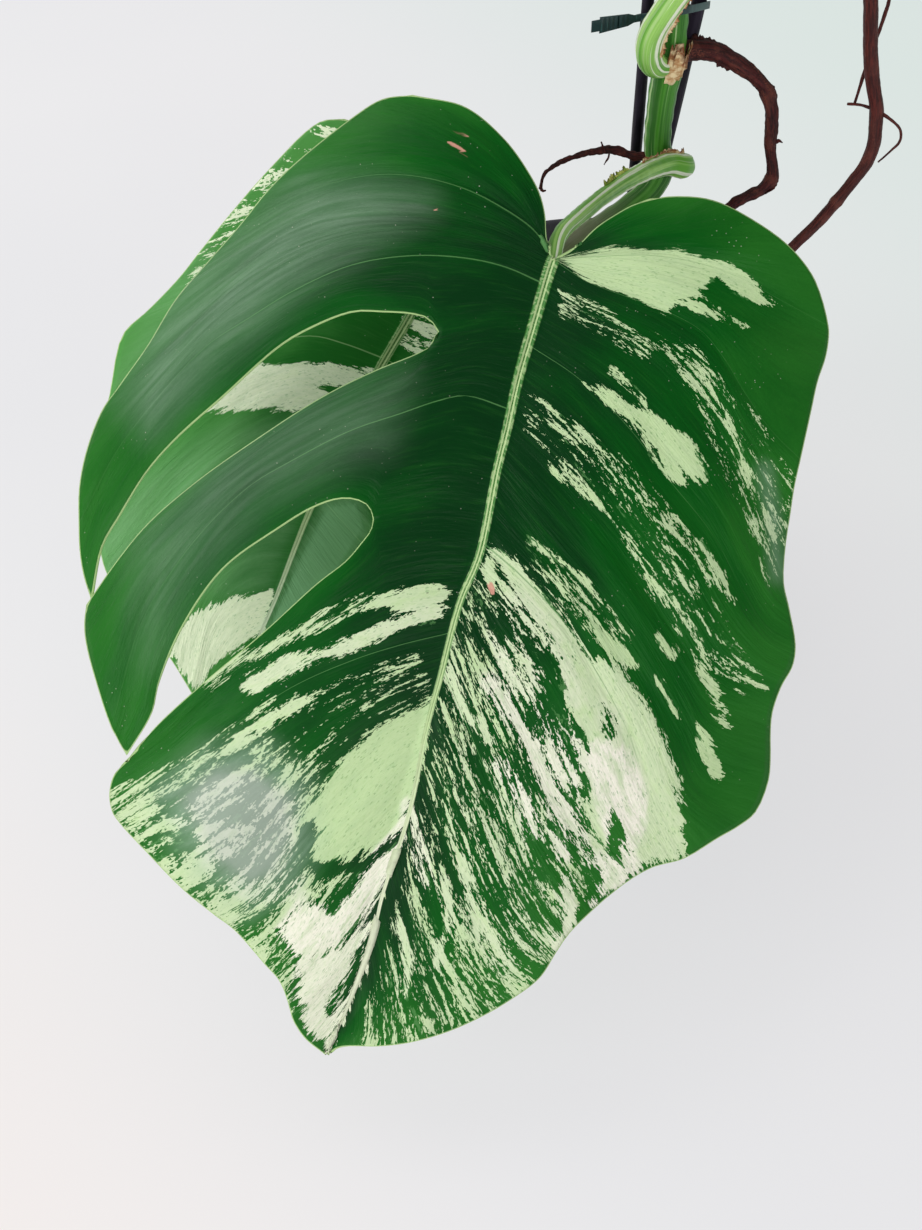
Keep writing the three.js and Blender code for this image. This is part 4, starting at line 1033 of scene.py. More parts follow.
class Shader:
    """A material as it is wired: each method adds a node and gives back its output."""

    def __init__(self, name: str) -> None:
        """Starts a material with a bare surface shader.

        Args:
            name: the material's name.
        """
        self.material = bpy.data.materials.new(name)
        self.material.use_nodes = True
        self.tree = self.material.node_tree
        self.tree.nodes.clear()
        output = self.tree.nodes.new("ShaderNodeOutputMaterial")
        self.surface = self.tree.nodes.new("ShaderNodeBsdfPrincipled")
        self.tree.links.new(self.surface.outputs[0], output.inputs[0])

    def put(self, socket: Socket, value: Value) -> None:
        """Wires or sets an input.

        Args:
            socket: the input.
            value: a node's output, a number, a vector or a colour.
        """
        if isinstance(value, Socket):
            self.tree.links.new(value, socket)
        elif socket.type == "RGBA" and len(value) == 3:
            socket.default_value = (*value, 1.0)
        else:
            socket.default_value = value

    def node(self, kind: str, inputs: dict[Union[str, int], Value], **settings: object) -> bpy.types.Node:
        """Adds a node.

        Args:
            kind: the node's type, without the words that all of them start with.
            inputs: values or outputs for its inputs, by name or number.
            settings: its own settings.

        Returns:
            The node.
        """
        made = self.tree.nodes.new(f"ShaderNode{kind}")
        for key, value in settings.items():
            setattr(made, key, value)
        for key, value in inputs.items():
            self.put(made.inputs[key], value)
        return made

    def math(self, operation: str, a: Value, b: Value) -> Socket:
        """Two numbers joined by an operation."""
        return self.node("Math", {0: a, 1: b}, operation=operation).outputs[0]

    def times(self, a: Value, b: Value) -> Socket:
        """Two numbers multiplied."""
        return self.math("MULTIPLY", a, b)

    def total(self, *parts: tuple[Value, float], less: float = 0.0) -> Socket:
        """Adds weighted values.

        Args:
            parts: each value with its weight.
            less: what is taken off at the end.

        Returns:
            The sum.
        """
        whole = self.times(*parts[0])
        for value, weight in parts[1:]:
            whole = self.math("ADD", whole, self.times(value, weight))
        return self.math("SUBTRACT", whole, less)

    def mix(self, share: Value, a: Value, b: Value) -> Socket:
        """Colour A going over to B."""
        return self.node("Mix", {"Factor": share, 6: a, 7: b}, data_type="RGBA").outputs[2]

    def glaze(self, skin: Value, share: Value, strength: Value, colour: Value) -> Socket:
        """The skin with a colour over it, where SHARE says and as strong as STRENGTH."""
        return self.mix(self.times(share, strength), skin, colour)

    def band(self, value: Value, low: float, high: float, start: float = 0.0, end: float = 1.0) -> Socket:
        """A smooth step of VALUE from START at LOW to END at HIGH."""
        inputs = {0: value, 1: low, 2: high, 3: start, 4: end}
        return self.node("MapRange", inputs, interpolation_type="SMOOTHSTEP").outputs[0]

    def parts(self, vector: Value) -> tuple[Socket, ...]:
        """A vector's three numbers."""
        return tuple(self.node("SeparateXYZ", {0: vector}).outputs)

    def attribute(self, name: str) -> Socket:
        """A mesh attribute's vector."""
        return self.node("Attribute", {}, attribute_name=name).outputs["Vector"]

    def place(self) -> Socket:
        """The object's own coordinates, in metres."""
        return self.node("TexCoord", {}).outputs["Object"]

    def stretched(self, vector: Value, scale: Sequence[float]) -> Socket:
        """A vector multiplied part by part."""
        return self.node("VectorMath", {0: vector, 1: scale}, operation="MULTIPLY").outputs[0]

    def noise(self, vector: Value, scale: Value, detail: float = 2.0, rough: float = 0.5,
              bend: float = 0.0) -> Socket:
        """Makes cloudy noise.

        Args:
            vector: where it is read.
            scale: how fine it is, as one number or one for each way.
            detail: how many finer layers it has.
            rough: how strong those are.
            bend: how far it is warped.

        Returns:
            Numbers of about 0 to 1.
        """
        if isinstance(scale, tuple):
            vector, scale = self.stretched(vector, scale), 1.0
        settings = {"Scale": scale, "Detail": detail, "Roughness": rough, "Distortion": bend}
        return self.node("TexNoise", {"Vector": vector, **settings}).outputs[0]

    def cells(self, vector: Value, scale: Sequence[float]) -> bpy.types.Node:
        """Cells with a random colour and a distance from the middle."""
        return self.node("TexVoronoi", {"Vector": self.stretched(vector, scale), "Scale": 1.0})

    def random(self, vector: Value, scale: Sequence[float]) -> Socket:
        """A random number for each cell."""
        return self.node("SeparateColor", {0: self.cells(vector, scale).outputs["Color"]}).outputs[0]

    def dots(self, vector: Value, scale: Sequence[float], inner: float, outer: float) -> Socket:
        """A small dot in each cell, solid up to INNER and gone at OUTER."""
        return self.band(self.cells(vector, scale).outputs["Distance"], inner, outer, 1.0, 0.0)

    def ramp(self, value: Value, *stops: tuple[float, Colour]) -> Socket:
        """Reads a colour along a row of them.

        Args:
            value: where it is read.
            stops: places and their colours.

        Returns:
            The colour.
        """
        made = self.node("ValToRGB", {0: value})
        stack = made.color_ramp.elements
        while len(stack) < len(stops):
            stack.new(0.5)
        for element, (place, colour) in zip(stack, stops):
            element.position = place
            element.color = (*colour, 1.0)
        return made.outputs[0]

    def bump(self, height: Value, depth: float, strength: float = 1.0) -> None:
        """Adds relief to the surface's shading.

        Args:
            height: the relief.
            depth: its height in metres.
            strength: how much of it shows.
        """
        made = self.node("Bump", {"Height": height, "Distance": depth, "Strength": strength})
        below = self.surface.inputs["Normal"].links
        if below:
            self.tree.links.new(below[0].from_socket, made.inputs["Normal"])
        self.tree.links.new(made.outputs[0], self.surface.inputs["Normal"])

    def finish(self, colour: Value, rough: Value, gloss: float, **inputs: Value) -> Material:
        """Ends the material.

        Args:
            colour: the surface's colour.
            rough: its roughness.
            gloss: its specular level.
            inputs: other inputs, with the spaces in their names as underscores.

        Returns:
            The material.
        """
        inputs.update(Base_Color=colour, Roughness=rough, Specular_IOR_Level=gloss)
        for key, value in inputs.items():
            self.put(self.surface.inputs[key.replace("_", " ")], value)
        return self.material


@dataclass(frozen=True)
class LeafFinish:
    """A blade's colours and gloss, seen from one side."""

    name: str
    dark: Colour = srgb(0, 50, 14)
    bright: Colour = srgb(0, 80, 14)
    outer: Colour = srgb(44, 118, 36)
    mid: Colour = srgb(92, 146, 84)
    cream: Colour = srgb(188, 212, 160)
    white: Colour = srgb(238, 234, 220)
    wash: Colour = srgb(152, 192, 124)
    rib: Colour = srgb(186, 210, 152)
    groove: Colour = srgb(58, 118, 46)
    edge: Colour = srgb(178, 208, 142)
    blemish: Colour = srgb(208, 150, 132)
    # The painted sheen's colours: a grey-green glaze, and a greyer one where the sheen is strong.
    sheen_paint: Colour = srgb(165, 190, 168)
    painted_shine: Colour = srgb(178, 186, 178)
    rough: float = 0.4
    gloss: float = 0.1
    # How far the painted sheen towards the margin goes over to the outer colour
    glow: float = 0.6

    def make(self) -> Material:
        """Wires the finish: green with painted shade by the midrib and painted sheen towards the margin,
        torn pale tissue along the veins, ribs, a painted grey-green sheen and a pale margin.
        """
        s = Shader(self.name)
        grain, place = s.attribute("grain"), s.place()
        pale, ragged, tone = s.parts(s.attribute("marbling"))
        rib, vein, edge = s.parts(s.attribute("lines"))
        row, station, scar = s.parts(s.attribute("spread"))
        sheen_paint, *_ = s.parts(s.attribute("painted_sheen"))
        fine = s.noise(grain, (1.6, 0.5, 1), 3, 0.65, 0.4)
        reach, halo = self._torn(s, grain, pale, ragged, fine)
        skin = self._green(s, grain, row, edge, fine, halo)
        skin = s.mix(s.band(reach, -0.1, 0.1), skin, self._light(s, grain, tone, fine))
        skin = self._ribs(s, skin, grain, row, station, rib, vein, edge)
        combed = s.total((s.noise(grain, (0.3, 0.03, 1)), 1.0), (fine, 0.3))
        # Painted sheen: a streaky glaze of the sheen colours, greyer and smoother where it is strong.
        dense = s.band(sheen_paint, 0.45, 0.7)
        sheen_streaks = s.math("MAXIMUM", s.band(combed, 0.4, 1.0, 0.5, 1.0), dense)
        skin = s.glaze(skin, sheen_paint, sheen_streaks, s.mix(dense, self.sheen_paint, self.painted_shine))
        skin = s.mix(s.band(scar, 0.25, 0.75, 0.9, 0.0), skin, self.blemish)
        dust = s.times(s.dots(place, (380, 380, 380), 0.04, 0.1), s.band(s.noise(place, 45), 0.5, 0.68))
        skin = s.glaze(skin, dust, 0.45, self.white)
        s.bump(s.noise(grain, (0.3, 0.028, 1), 3, 0.6), 0.0014, 0.5)
        s.bump(s.noise(grain, (0.9, 0.12, 1), 3), 0.0005, 0.45)
        s.bump(fine, 0.00012, 0.5)
        rough = s.band(s.noise(place, 90, 3), 0.2, 0.8, self.rough - 0.05, self.rough + 0.08)
        return s.finish(skin, rough, self.gloss)

    @staticmethod
    def _torn(s: Shader, grain: Value, pale: Value, ragged: Value, fine: Value) -> tuple[Socket, Socket]:
        """Tears the pale tissue's edge along the veins.

        Args:
            s: the material.
            grain: millimetres across and along the veins.
            pale: how far inside pale tissue a point lies.
            ragged: how far the edge is torn.
            fine: fine noise.

        Returns:
            How far the tissue reaches, and how strongly a thin layer of it shows through the green.
        """
        broad = s.noise(grain, (0.16, 0.024, 1), 2, 0.5, 0.5)
        streak = s.noise(grain, (0.42, 0.066, 1), 3, 0.6, 0.7)
        cell = s.random(grain, (2.1, 0.8, 1))
        torn = s.total((broad, 3.6), (streak, 5.4), (fine, 2.2), (cell, 0.8), less=6.0)
        thin = s.noise(grain, (0.36, 0.06, 3), 3, 0.6, 0.7)
        under = s.total((thin, 4.2), (fine, 2.0), (cell, 0.7), less=3.9)
        reach, behind = (s.math("ADD", pale, s.times(ragged, tear)) for tear in (torn, under))
        return reach, s.band(behind, -0.2, 0.35)

    def _light(self, s: Shader, grain: Value, tone: Value, fine: Value) -> Socket:
        """Colours the pale tissue.

        Args:
            s: the material.
            grain: millimetres across and along the veins.
            tone: from cream-green at 0 to white at 1.
            fine: fine noise.

        Returns:
            The colour, with green washes and freckles.
        """
        cloud = s.noise(grain, (0.3, 0.1, 1), 4, 0.65)
        whiter = s.band(s.total((tone, 1.0), (cloud, 1.4), less=0.7), 0.0, 1.0)
        light = s.mix(whiter, self.cream, self.white)
        light = s.glaze(light, s.band(cloud, 0.42, 0.7), 0.5, self.wash)
        light = s.glaze(light, s.band(fine, 0.48, 0.72), 0.35, self.wash)
        return s.mix(s.band(s.random(grain, (2.6, 1.0, 1)), 0.93, 0.96, 0.0, 0.4), light, self.mid)

    def _green(self, s: Shader, grain: Value, row: Value, edge: Value, fine: Value, halo: Value) -> Socket:
        """Colours the green tissue: darker by the midrib and lighter out to the margin, a painted shade and
        sheen.

        Args:
            s: the material.
            grain: millimetres across and along the veins.
            row: from 0 at the midrib to 1 at the margin.
            edge: millimetres from the margin.
            fine: fine noise.
            halo: how strongly pale tissue shows through.

        Returns:
            The colour.
        """
        # Painted shade by the midrib and painted sheen towards the margin: dark green going over to bright
        # and then to the outer colour as the row grows.
        reach = s.total((row, 1.0), (s.noise(grain, (0.07, 0.022, 1)), 0.8), (fine, 0.15), less=0.475)
        green = s.mix(s.band(reach, 0.05, 0.6), self.dark, self.bright)
        green = s.mix(s.band(reach, 0.5, 1.1, 0.0, self.glow), green, self.outer)
        green = s.mix(s.band(edge, 0.0, 2.2, 0.1, 0.0), green, self.outer)
        green = s.glaze(green, s.band(s.noise(grain, (0.8, 0.05, 1), 3, 0.6), 0.5, 0.75), 0.14, self.outer)
        return s.glaze(green, halo, 0.5, self.mid)

    def _ribs(self, s: Shader, skin: Value, grain: Value, row: Value, station: Value, rib: Value,
              vein: Value, edge: Value) -> Socket:
        """Draws the side veins, the double-lined midrib, which pales and thins to the tip, and the margin.

        Args:
            s: the material.
            skin: the colour so far.
            grain: millimetres across and along the veins.
            row: from 0 at the midrib to 1 at the margin.
            station: from 0 at the leaf's base to 1 at its tip.
            rib: the distance from the midrib's middle, in half widths.
            vein: the distance from a side vein.
            edge: millimetres from the margin.

        Returns:
            The colour.
        """
        near, strength = s.band(vein, 0.1, 0.55, 1.0, 0.0), s.band(row, 0.25, 0.9, 0.65, 0.15)
        skin = s.glaze(skin, near, strength, self.mid)
        bands = s.ramp(
            s.times(rib, 0.5), (0.0, self.groove), (0.05, self.groove), (0.12, self.rib), (0.22, self.rib),
            (0.3, self.groove), (0.4, self.mid), (0.5, self.groove),
        )
        bands = s.glaze(bands, s.band(s.noise(grain, (0.5, 0.2, 1), 3), 0.46, 0.62), 0.6, self.rib)
        bands = s.mix(s.band(station, 0.35, 0.7, 0.0, 0.7), bands, self.rib)
        bands = s.mix(s.band(station, 0.5, 0.85, 0.0, 0.55), bands, self.white)
        narrowed = s.total((rib, 1.0), (station, 0.5), less=0.1)
        skin = s.mix(s.band(narrowed, 0.85, 1.15, 1.0, 0.0), skin, bands)
        return s.mix(s.band(edge, 0.2, 0.45, 0.85, 0.0), skin, self.edge)


def rumple(points: Array, size: float, seed: int) -> Array:
    """Smooth lumps, the same for the same seed.

    Args:
        points: rows of x, y, z.
        size: about how far apart the lumps are.
        seed: which lumps.

    Returns:
        One number from about -1 to 1 for each point.
    """
    draw = np.random.default_rng(seed)
    waves = 12
    ways = draw.normal(size=(waves, 3))
    lengths = np.linalg.norm(ways, axis=1, keepdims=True)
    ways *= FULL_TURN / size * draw.uniform(0.6, 1.8, (waves, 1)) / lengths
    return np.sin(points.reshape(-1, 3) @ ways.T + draw.uniform(0, FULL_TURN, waves)).sum(axis=1) / 4


def layered(*parts: Value) -> Array:
    """Values side by side in a new last axis, each spread over the shape that all of them make."""
    return np.stack(np.broadcast_arrays(*parts), axis=-1)


def square_to(ways: Array, toward: Sequence[float]) -> tuple[Array, Array]:
    """Finds two unit ways square to a limb.

    Args:
        ways: the limb's own way at each point.
        toward: the side that the first looks to.

    Returns:
        The first way and the one on round the limb, one row for each point.
    """
    out = np.array(toward) - ways * (ways @ np.array(toward))[:, None]
    out /= np.linalg.norm(out, axis=1, keepdims=True)
    return out, np.cross(ways, out)


def new_sheet(*layers: str) -> bmesh.types.BMesh:
    """An empty mesh with vector layers of these names."""
    bm = bmesh.new()
    for name in layers:
        bm.verts.layers.float_vector.new(name)
    return bm


def lay_grid(bm: bmesh.types.BMesh, places: Array, extras: dict[str, Array]) -> None:
    """Adds a grid of faces through given places.

    Args:
        bm: the mesh that is being made.
        places: columns by rows of x, y, z.
        extras: columns by rows of three values, for the vector layers of those names.
    """
    columns, rows = places.shape[:2]
    spots = places.reshape(-1, 3).tolist()
    layers = [
        (bm.verts.layers.float_vector[name], values.reshape(-1, 3).tolist())
        for name, values in extras.items()
    ]
    made = bmesh.ops.create_grid(bm, x_segments=columns - 1, y_segments=rows - 1, size=1.0)
    for vert in made["verts"]:
        column = round((vert.co.x + 1) / 2 * (columns - 1))
        k = column * rows + round((vert.co.y + 1) / 2 * (rows - 1))
        vert.co = spots[k]
        for layer, values in layers:
            vert[layer] = values[k]


def close_sheet(bm: bmesh.types.BMesh, name: str, weld: float, scale: float = MM) -> Mesh:
    """Joins what meets and turns the mesh out.

    Args:
        bm: the mesh that is being made, which is freed.
        name: the finished mesh's name.
        weld: points nearer than this become one.
        scale: what the places are multiplied by.

    Returns:
        The finished mesh, shaded smooth.
    """
    bmesh.ops.remove_doubles(bm, verts=bm.verts, dist=weld)
    bmesh.ops.dissolve_degenerate(bm, edges=bm.edges, dist=weld / 4)
    bmesh.ops.recalc_face_normals(bm, faces=bm.faces)
    bmesh.ops.scale(bm, vec=(scale, scale, scale), verts=bm.verts)
    for face in bm.faces:
        face.smooth = True
    mesh = bpy.data.meshes.new(name)
    bm.to_mesh(mesh)
    bm.free()
    return mesh


def add_piece(mesh: Mesh, slot: Slot, materials: Sequence[Material], *nodes: str) -> bpy.types.Object:
    """Puts a finished mesh on the plant.

    Args:
        mesh: the piece's mesh, whose name it takes.
        slot: the record's slot for its finish; not used.
        materials: its materials.
        nodes: the solids that it stands for.

    Returns:
        The piece's object.
    """
    for material in materials:
        mesh.materials.append(material)
    piece = bpy.data.objects.new(mesh.name, mesh)
    bpy.context.scene.collection.objects.link(piece)
    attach(piece, BODY)
    if nodes:
        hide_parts(*nodes)
    log.info("%s: %d faces", piece.name, len(mesh.polygons))
    return piece


def thicken(piece: bpy.types.Object, thickness: float, offset: float = 0.0) -> None:
    """Gives a sheet its thickness.

    Args:
        piece: the sheet.
        thickness: millimetres.
        offset: 0 for a sheet in the middle of it, -1 for one on its face.
    """
    solid = piece.modifiers.new("thickness", "SOLIDIFY")
    solid.thickness = thickness * MM
    solid.offset = offset


@dataclass(frozen=True)
class Skin:
    """A limb's relief in millimetres: ribs, lumps, fine bark, and rings of (place, height, half width)."""

    ribs: float = 0.0
    rib_size: float = 2.4
    lumps: float = 0.0
    lump_size: float = 9.0
    bark: float = 0.0
    bark_size: float = 1.7
    rings: Sequence[Spot] = ()

    def relief(self, grain: Array, places: Array, seed: int) -> Array:
        """How far each point stands out.

        Args:
            grain: rows of the round place and the length, in millimetres.
            places: the same points in space.
            seed: which lumps.

        Returns:
            One height for each point.
        """
        out = self.ribs * rumple(grain * [1, 1, 0.05], self.rib_size, seed)
        out += self.lumps * rumple(places, self.lump_size, seed + 1)
        out += self.bark * rumple(grain * [1, 1, 0.45], self.bark_size, seed + 2)
        wander = 0.8 * rumple(grain * [1, 1, 0.2], 6.0, seed + 3)
        for place, height, half in self.rings:
            out += height * np.exp(-(((grain.reshape(-1, 3)[:, 2] - place + wander) / half) ** 2))
        return out


@dataclass(frozen=True)
class Limb:
    """A round limb with domed ends: a path in millimetres, and its radius at each point of the path."""

    path: Points
    radii: Sequence[float]
    skin: Skin = Skin()
    sides: int = 28
    step: float = 1.3
    seed: int = 1
    dome: float = 0.6
    DOME_RINGS = 4
    RING_STAIN = 2.2

    def frames(self, share: Array) -> tuple[Array, ...]:
        """Reads the limb's path with ways across it that don't twist.

        Args:
            share: shares of the limb's length.

        Returns:
            Centres, the limb's way and two ways across it, one row each, and the radii.
        """
        curve = SmoothCurve(self.path)
        slopes = np.gradient(curve.along(np.linspace(0, 1, FRAME_STEPS + 1)), axis=0)
        slopes /= np.linalg.norm(slopes, axis=1, keepdims=True)
        side = np.cross(slopes[0], [0.3, 0.9, 0.2])
        sides = []
        for slope in slopes:
            side = side - slope * (side @ slope)
            side = side / np.linalg.norm(side)
            sides.append(side)
        index = np.clip(np.round(share * FRAME_STEPS).astype(int), 0, FRAME_STEPS)
        ways, first = slopes[index], np.array(sides)[index]
        stops = np.interp(np.linspace(0, 1, len(self.path)), curve.marks, curve.lengths) / curve.length
        return curve.along(share), ways, first, np.cross(ways, first), np.interp(share, stops, self.radii)

    @property
    def length(self) -> float:
        """The limb's length in millimetres."""
        return SmoothCurve(self.path).length

    def lay(self, bm: bmesh.types.BMesh) -> None:
        """Adds the limb to a mesh.

        Args:
            bm: a mesh with the vector layers grain and tint.
        """
        count = max(6, math.ceil(self.length / self.step))
        turn = np.linspace(0, np.pi / 2, self.DOME_RINGS + 1)[1:]
        share = np.concatenate([np.zeros(len(turn)), np.linspace(0, 1, count + 1), np.ones(len(turn))])
        shrink = np.concatenate([np.cos(turn[::-1]), np.ones(count + 1), np.cos(turn)])
        push = np.concatenate([-np.sin(turn[::-1]), np.zeros(count + 1), np.sin(turn)])
        shrink[np.abs(shrink) < 1e-9] = 0
        centres, ways, first, second, radii = self.frames(share)
        angle = np.linspace(0, FULL_TURN, self.sides + 1)[:, None]
        angle[-1] = 0
        outward = np.cos(angle)[..., None] * first + np.sin(angle)[..., None] * second
        mean, along = float(np.mean(self.radii)), share * self.length
        grain = layered(np.cos(angle) * mean, np.sin(angle) * mean, along)
        base = centres + (push * radii * self.dome)[:, None] * ways
        smooth_skin = base + outward * radii[:, None]
        relief = self.skin.relief(grain, smooth_skin, self.seed).reshape(grain.shape[:2])
        places = base + outward * ((radii + relief) * shrink)[..., None]
        rings = np.zeros(len(share))
        for place, _height, half in self.skin.rings:
            rings = np.maximum(rings, np.exp(-(((along - place) / (half * self.RING_STAIN)) ** 2)))
        lay_grid(bm, places, {"grain": grain, "tint": layered(rings, share, relief)})


@dataclass(frozen=True)
class Fin:
    """A ragged papery strip on a limb: between two lengths along it, on the side that WAY looks to."""

    limb: Limb
    start: float
    end: float
    way: Spot
    height: float
    lean: float = 1.0
    spread: float = 0.0
    seed: int = 1
    ROWS = 7

    def lay(self, bm: bmesh.types.BMesh) -> None:
        """Adds the strip to a mesh.

        Args:
            bm: a mesh with the vector layers grain and tint.
        """
        columns = max(12, round((self.end - self.start) / 0.35))
        along = np.linspace(self.start, self.end, columns)
        centres, ways, _first, _second, radii = self.limb.frames(along / self.limb.length)
        out, side = square_to(ways, self.way)
        spots = layered(along, 0.0, 0.0)
        torn = 0.62 + 0.3 * rumple(spots, 5.0, self.seed) + 0.22 * rumple(spots, 1.3, self.seed + 1)
        ends = smooth(np.minimum(along - self.start, self.end - along) / 1.5)
        tall = (self.height * np.clip(torn, 0.12, 1.1) * ends)[:, None]
        v = np.linspace(0, 1, self.ROWS)
        sway = (self.lean * rumple(spots, 4.0, self.seed + 2))[:, None, None] + self.spread
        rise = (radii[:, None] * 0.94 + v * tall)[..., None]
        places = centres[:, None] + out[:, None] * rise + side[:, None] * (v * v)[:, None] * sway
        grain = layered(along[:, None], v * tall, float(self.seed))
        lay_grid(bm, places, {"grain": grain, "tint": layered(v + 0 * tall, 0.0, 0.0)})


@dataclass(frozen=True)
class Cuff:
    """A ragged papery wrap round part of a limb, flaring at its free edge."""

    limb: Limb
    start: float
    height: float
    facing: Spot
    sweep: float
    flare: float = 0.3
    seed: int = 1
    COLUMNS = 36
    ROWS = 12
    NEAR_RADIUS = 6

    def lay(self, bm: bmesh.types.BMesh) -> None:
        """Adds the wrap to a mesh.

        Args:
            bm: a mesh with the vector layers grain and tint.
        """
        angle = np.linspace(-self.sweep / 2, self.sweep / 2, self.COLUMNS)[:, None]
        round_place = angle * self.NEAR_RADIUS
        spots = layered(round_place[:, 0], 0.0, 0.0)
        torn = 0.7 + 0.3 * rumple(spots, 5.0, self.seed) + 0.2 * rumple(spots, 1.4, self.seed + 1)
        v = np.linspace(0, 1, self.ROWS)
        frayed = 0.09 * self.height * rumple(spots, 3.0, self.seed + 3)[:, None] * (1 - v)
        along = self.start + self.height * np.clip(torn, 0.2, 1.1)[:, None] * v + frayed
        centres, ways, _first, _second, radii = self.limb.frames(along.ravel() / self.limb.length)
        front, side = square_to(ways, self.facing)
        turn = np.repeat(angle, self.ROWS)[:, None]
        lift = np.tile(v, self.COLUMNS)[:, None]
        crumple = 0.25 * rumple(centres + front * 5, 2.5, self.seed + 2)[:, None]
        reach = radii[:, None] + 0.25 + self.flare * lift**2 * 4 + crumple * lift
        places = (centres + reach * (np.cos(turn) * front + np.sin(turn) * side)).reshape(*along.shape, 3)
        grain = layered(round_place, along, float(self.seed))
        lay_grid(bm, places, {"grain": grain, "tint": layered(v + 0 * along, 0.0, 0.0)})


def joined(stalk: Limb, base: Sequence[float], face: Sequence[float], down: Sequence[float]) -> Limb:
    """The stalk with its end close behind its blade's base, as the solids have it.

    Args:
        stalk: the stalk short of its end.
        base: where the blade's midrib starts.
        face: the way the blade's upper side looks.
        down: the way the blade's midrib points.

    Returns:
        The whole stalk.
    """
    front, run = Vector(face).normalized(), Vector(down).normalized()
    radius = STALK_TAPER * stalk.radii[-1]
    arrival = (Vector(base) - Vector(stalk.path[-1])).normalized()
    lean = math.sqrt(1 - arrival.dot(front) ** 2)
    end = Vector(base) - front * (radius * lean + BLADE_THICKNESS / 2 + GAP) + run * STALK_OVERLAP
    return replace(stalk, path=[*stalk.path, tuple(end)], radii=[*stalk.radii, radius])


def grow(name: str, parts: Sequence[Union[Limb, Fin, Cuff]]) -> Mesh:
    """Makes one mesh of limbs or papery strips.

    Args:
        name: the mesh's name.
        parts: what it is made of.

    Returns:
        The mesh, with the attributes grain and tint.
    """
    bm = new_sheet("grain", "tint")
    for part in parts:
        part.lay(bm)
    return close_sheet(bm, name, 0.004)


STEM = Limb(
    [(-25, -5, 96), (-25, -5, 130), (-27, -9, 152), (-25, -13, 172), (-16.4, -14.2, 185.6),
     (-3.3, -11, 194.6), (9.6, -8, 203.2), (19.5, -5, 211.6), (22, -1.5, 219), (20.5, 0, 228),
     (20.5, 0, 245), (22, 0, 265), (22.5, 0, 288), (22, 0, 310), (22, 1, 324), (22, 2, 334)],
    [5, 5.6, 5.8, NODE_RADIUS, 5.6, 5.1, 5.2, 5.8, NODE_RADIUS, 5.9, STEM_RADIUS, NODE_RADIUS, STEM_RADIUS,
     NODE_RADIUS, 5.4, 4.6],
    Skin(ribs=0.1, lumps=0.18, bark=0.03, bark_size=2.2, rings=[
        (77, 0.45, 1.1), (82, 0.25, 0.8), (149, 0.3, 1.0), (192, 0.45, 1.1), (197, 0.25, 0.8),
        (239, 0.4, 1.0),
    ]),
    sides=40, step=1.0, seed=3,
)
PETIOLE_A = Limb(
    [(22, -2, 218), (28, 1.5, 218.5), (32, -4, 220.5), (29, -11.5, 224), (24.4, -14.5, 226.2),
     (15, -27.7, 230.4), (-3, -61, 238.4), (-20.5, -99, 245.5), (-29.5, -124, 249.5)],
    [5, 5.2, 5.2, 5, 4.7, 4.2, 3.4, 3.0, 2.9],
    Skin(ribs=0.16, rib_size=2.2, lumps=0.1), sides=44, step=1.0, seed=11,
)
PETIOLE_B = Limb(
    [(-25, -13, 170), (-31, -18, 183), (-42, -30, 200), (-55, -46, 210.5), (-64, -57, 213)],
    [4.6, 4.4, 3.8, 3.3, 2.9], Skin(ribs=0.14, lumps=0.1), sides=32, seed=17,
)
PETIOLE_C = Limb(
    [(22, 0, 264), (15.5, -6, 266.5), (12, -11, 274), (12.9, -12, 282), (19.2, -16, 296.5), (36, -22, 325),
     (72, -24, 385), (108, -17, 434)],
    [5.2, 5.4, 5.4, 5.4, 5.3, 4.9, 4.2, 3.7],
    Skin(ribs=0.16, rib_size=2.2, lumps=0.1), sides=44, step=1.1, seed=23,
)
PETIOLE_D = Limb(
    [(22, 0, 309), (13, -3, 314), (7, -1, 326), (2, 8, 350), (-10, 30, 410), (-28, 60, 468)],
    [5, 5.2, 5, 4.7, 4.2, 3.7], Skin(ribs=0.14, lumps=0.1), sides=36, step=1.2, seed=29,
)
ROUGH = Skin(ribs=0.12, rib_size=1.6, lumps=0.22, lump_size=6, bark=0.16, bark_size=1.8)
BARK = Skin(ribs=0.14, rib_size=1.5, lumps=0.24, lump_size=8, bark=0.16, bark_size=1.7,
            rings=[(49, 0.5, 2.2), (85, 0.55, 1.7)])
SMOOTH = Skin(ribs=0.08, rib_size=1.6, lumps=0.14, lump_size=14, bark=0.05, bark_size=1.4,
              rings=[(196, 0.35, 1.6), (232, 0.3, 2.0)])
ROOT_1 = [
    Limb([(19, 0, 222.5), (10, -1.5, 223.8), (1.7, -0.6, 226.1), (-15.3, -8, 226.8), (-28.5, -16.4, 223.5),
          (-31, -20.7, 218)], [1.8, 1.8, 1.9, 1.2, 0.9, 0.6], ROUGH, sides=20, step=0.7, seed=31),
    Limb([(-3, -2.8, 226.6), (-3.4, -3, 228.6), (-4.4, -3, 230.8)],
         [1.0, 0.7, 0.35], ROUGH, sides=10, step=0.6),
    Limb([(0, -1.4, 225.6), (-0.6, -2.6, 223.4), (-2.4, -3.6, 220.6)],
         [0.55, 0.4, 0.3], ROUGH, sides=8, step=0.7),
    Limb([(-30.7, -20.2, 218.8), (-29.8, -21, 217.2), (-28.6, -21, 217.4)],
         [0.6, 0.5, 0.35], ROUGH, sides=8, step=0.6),
]
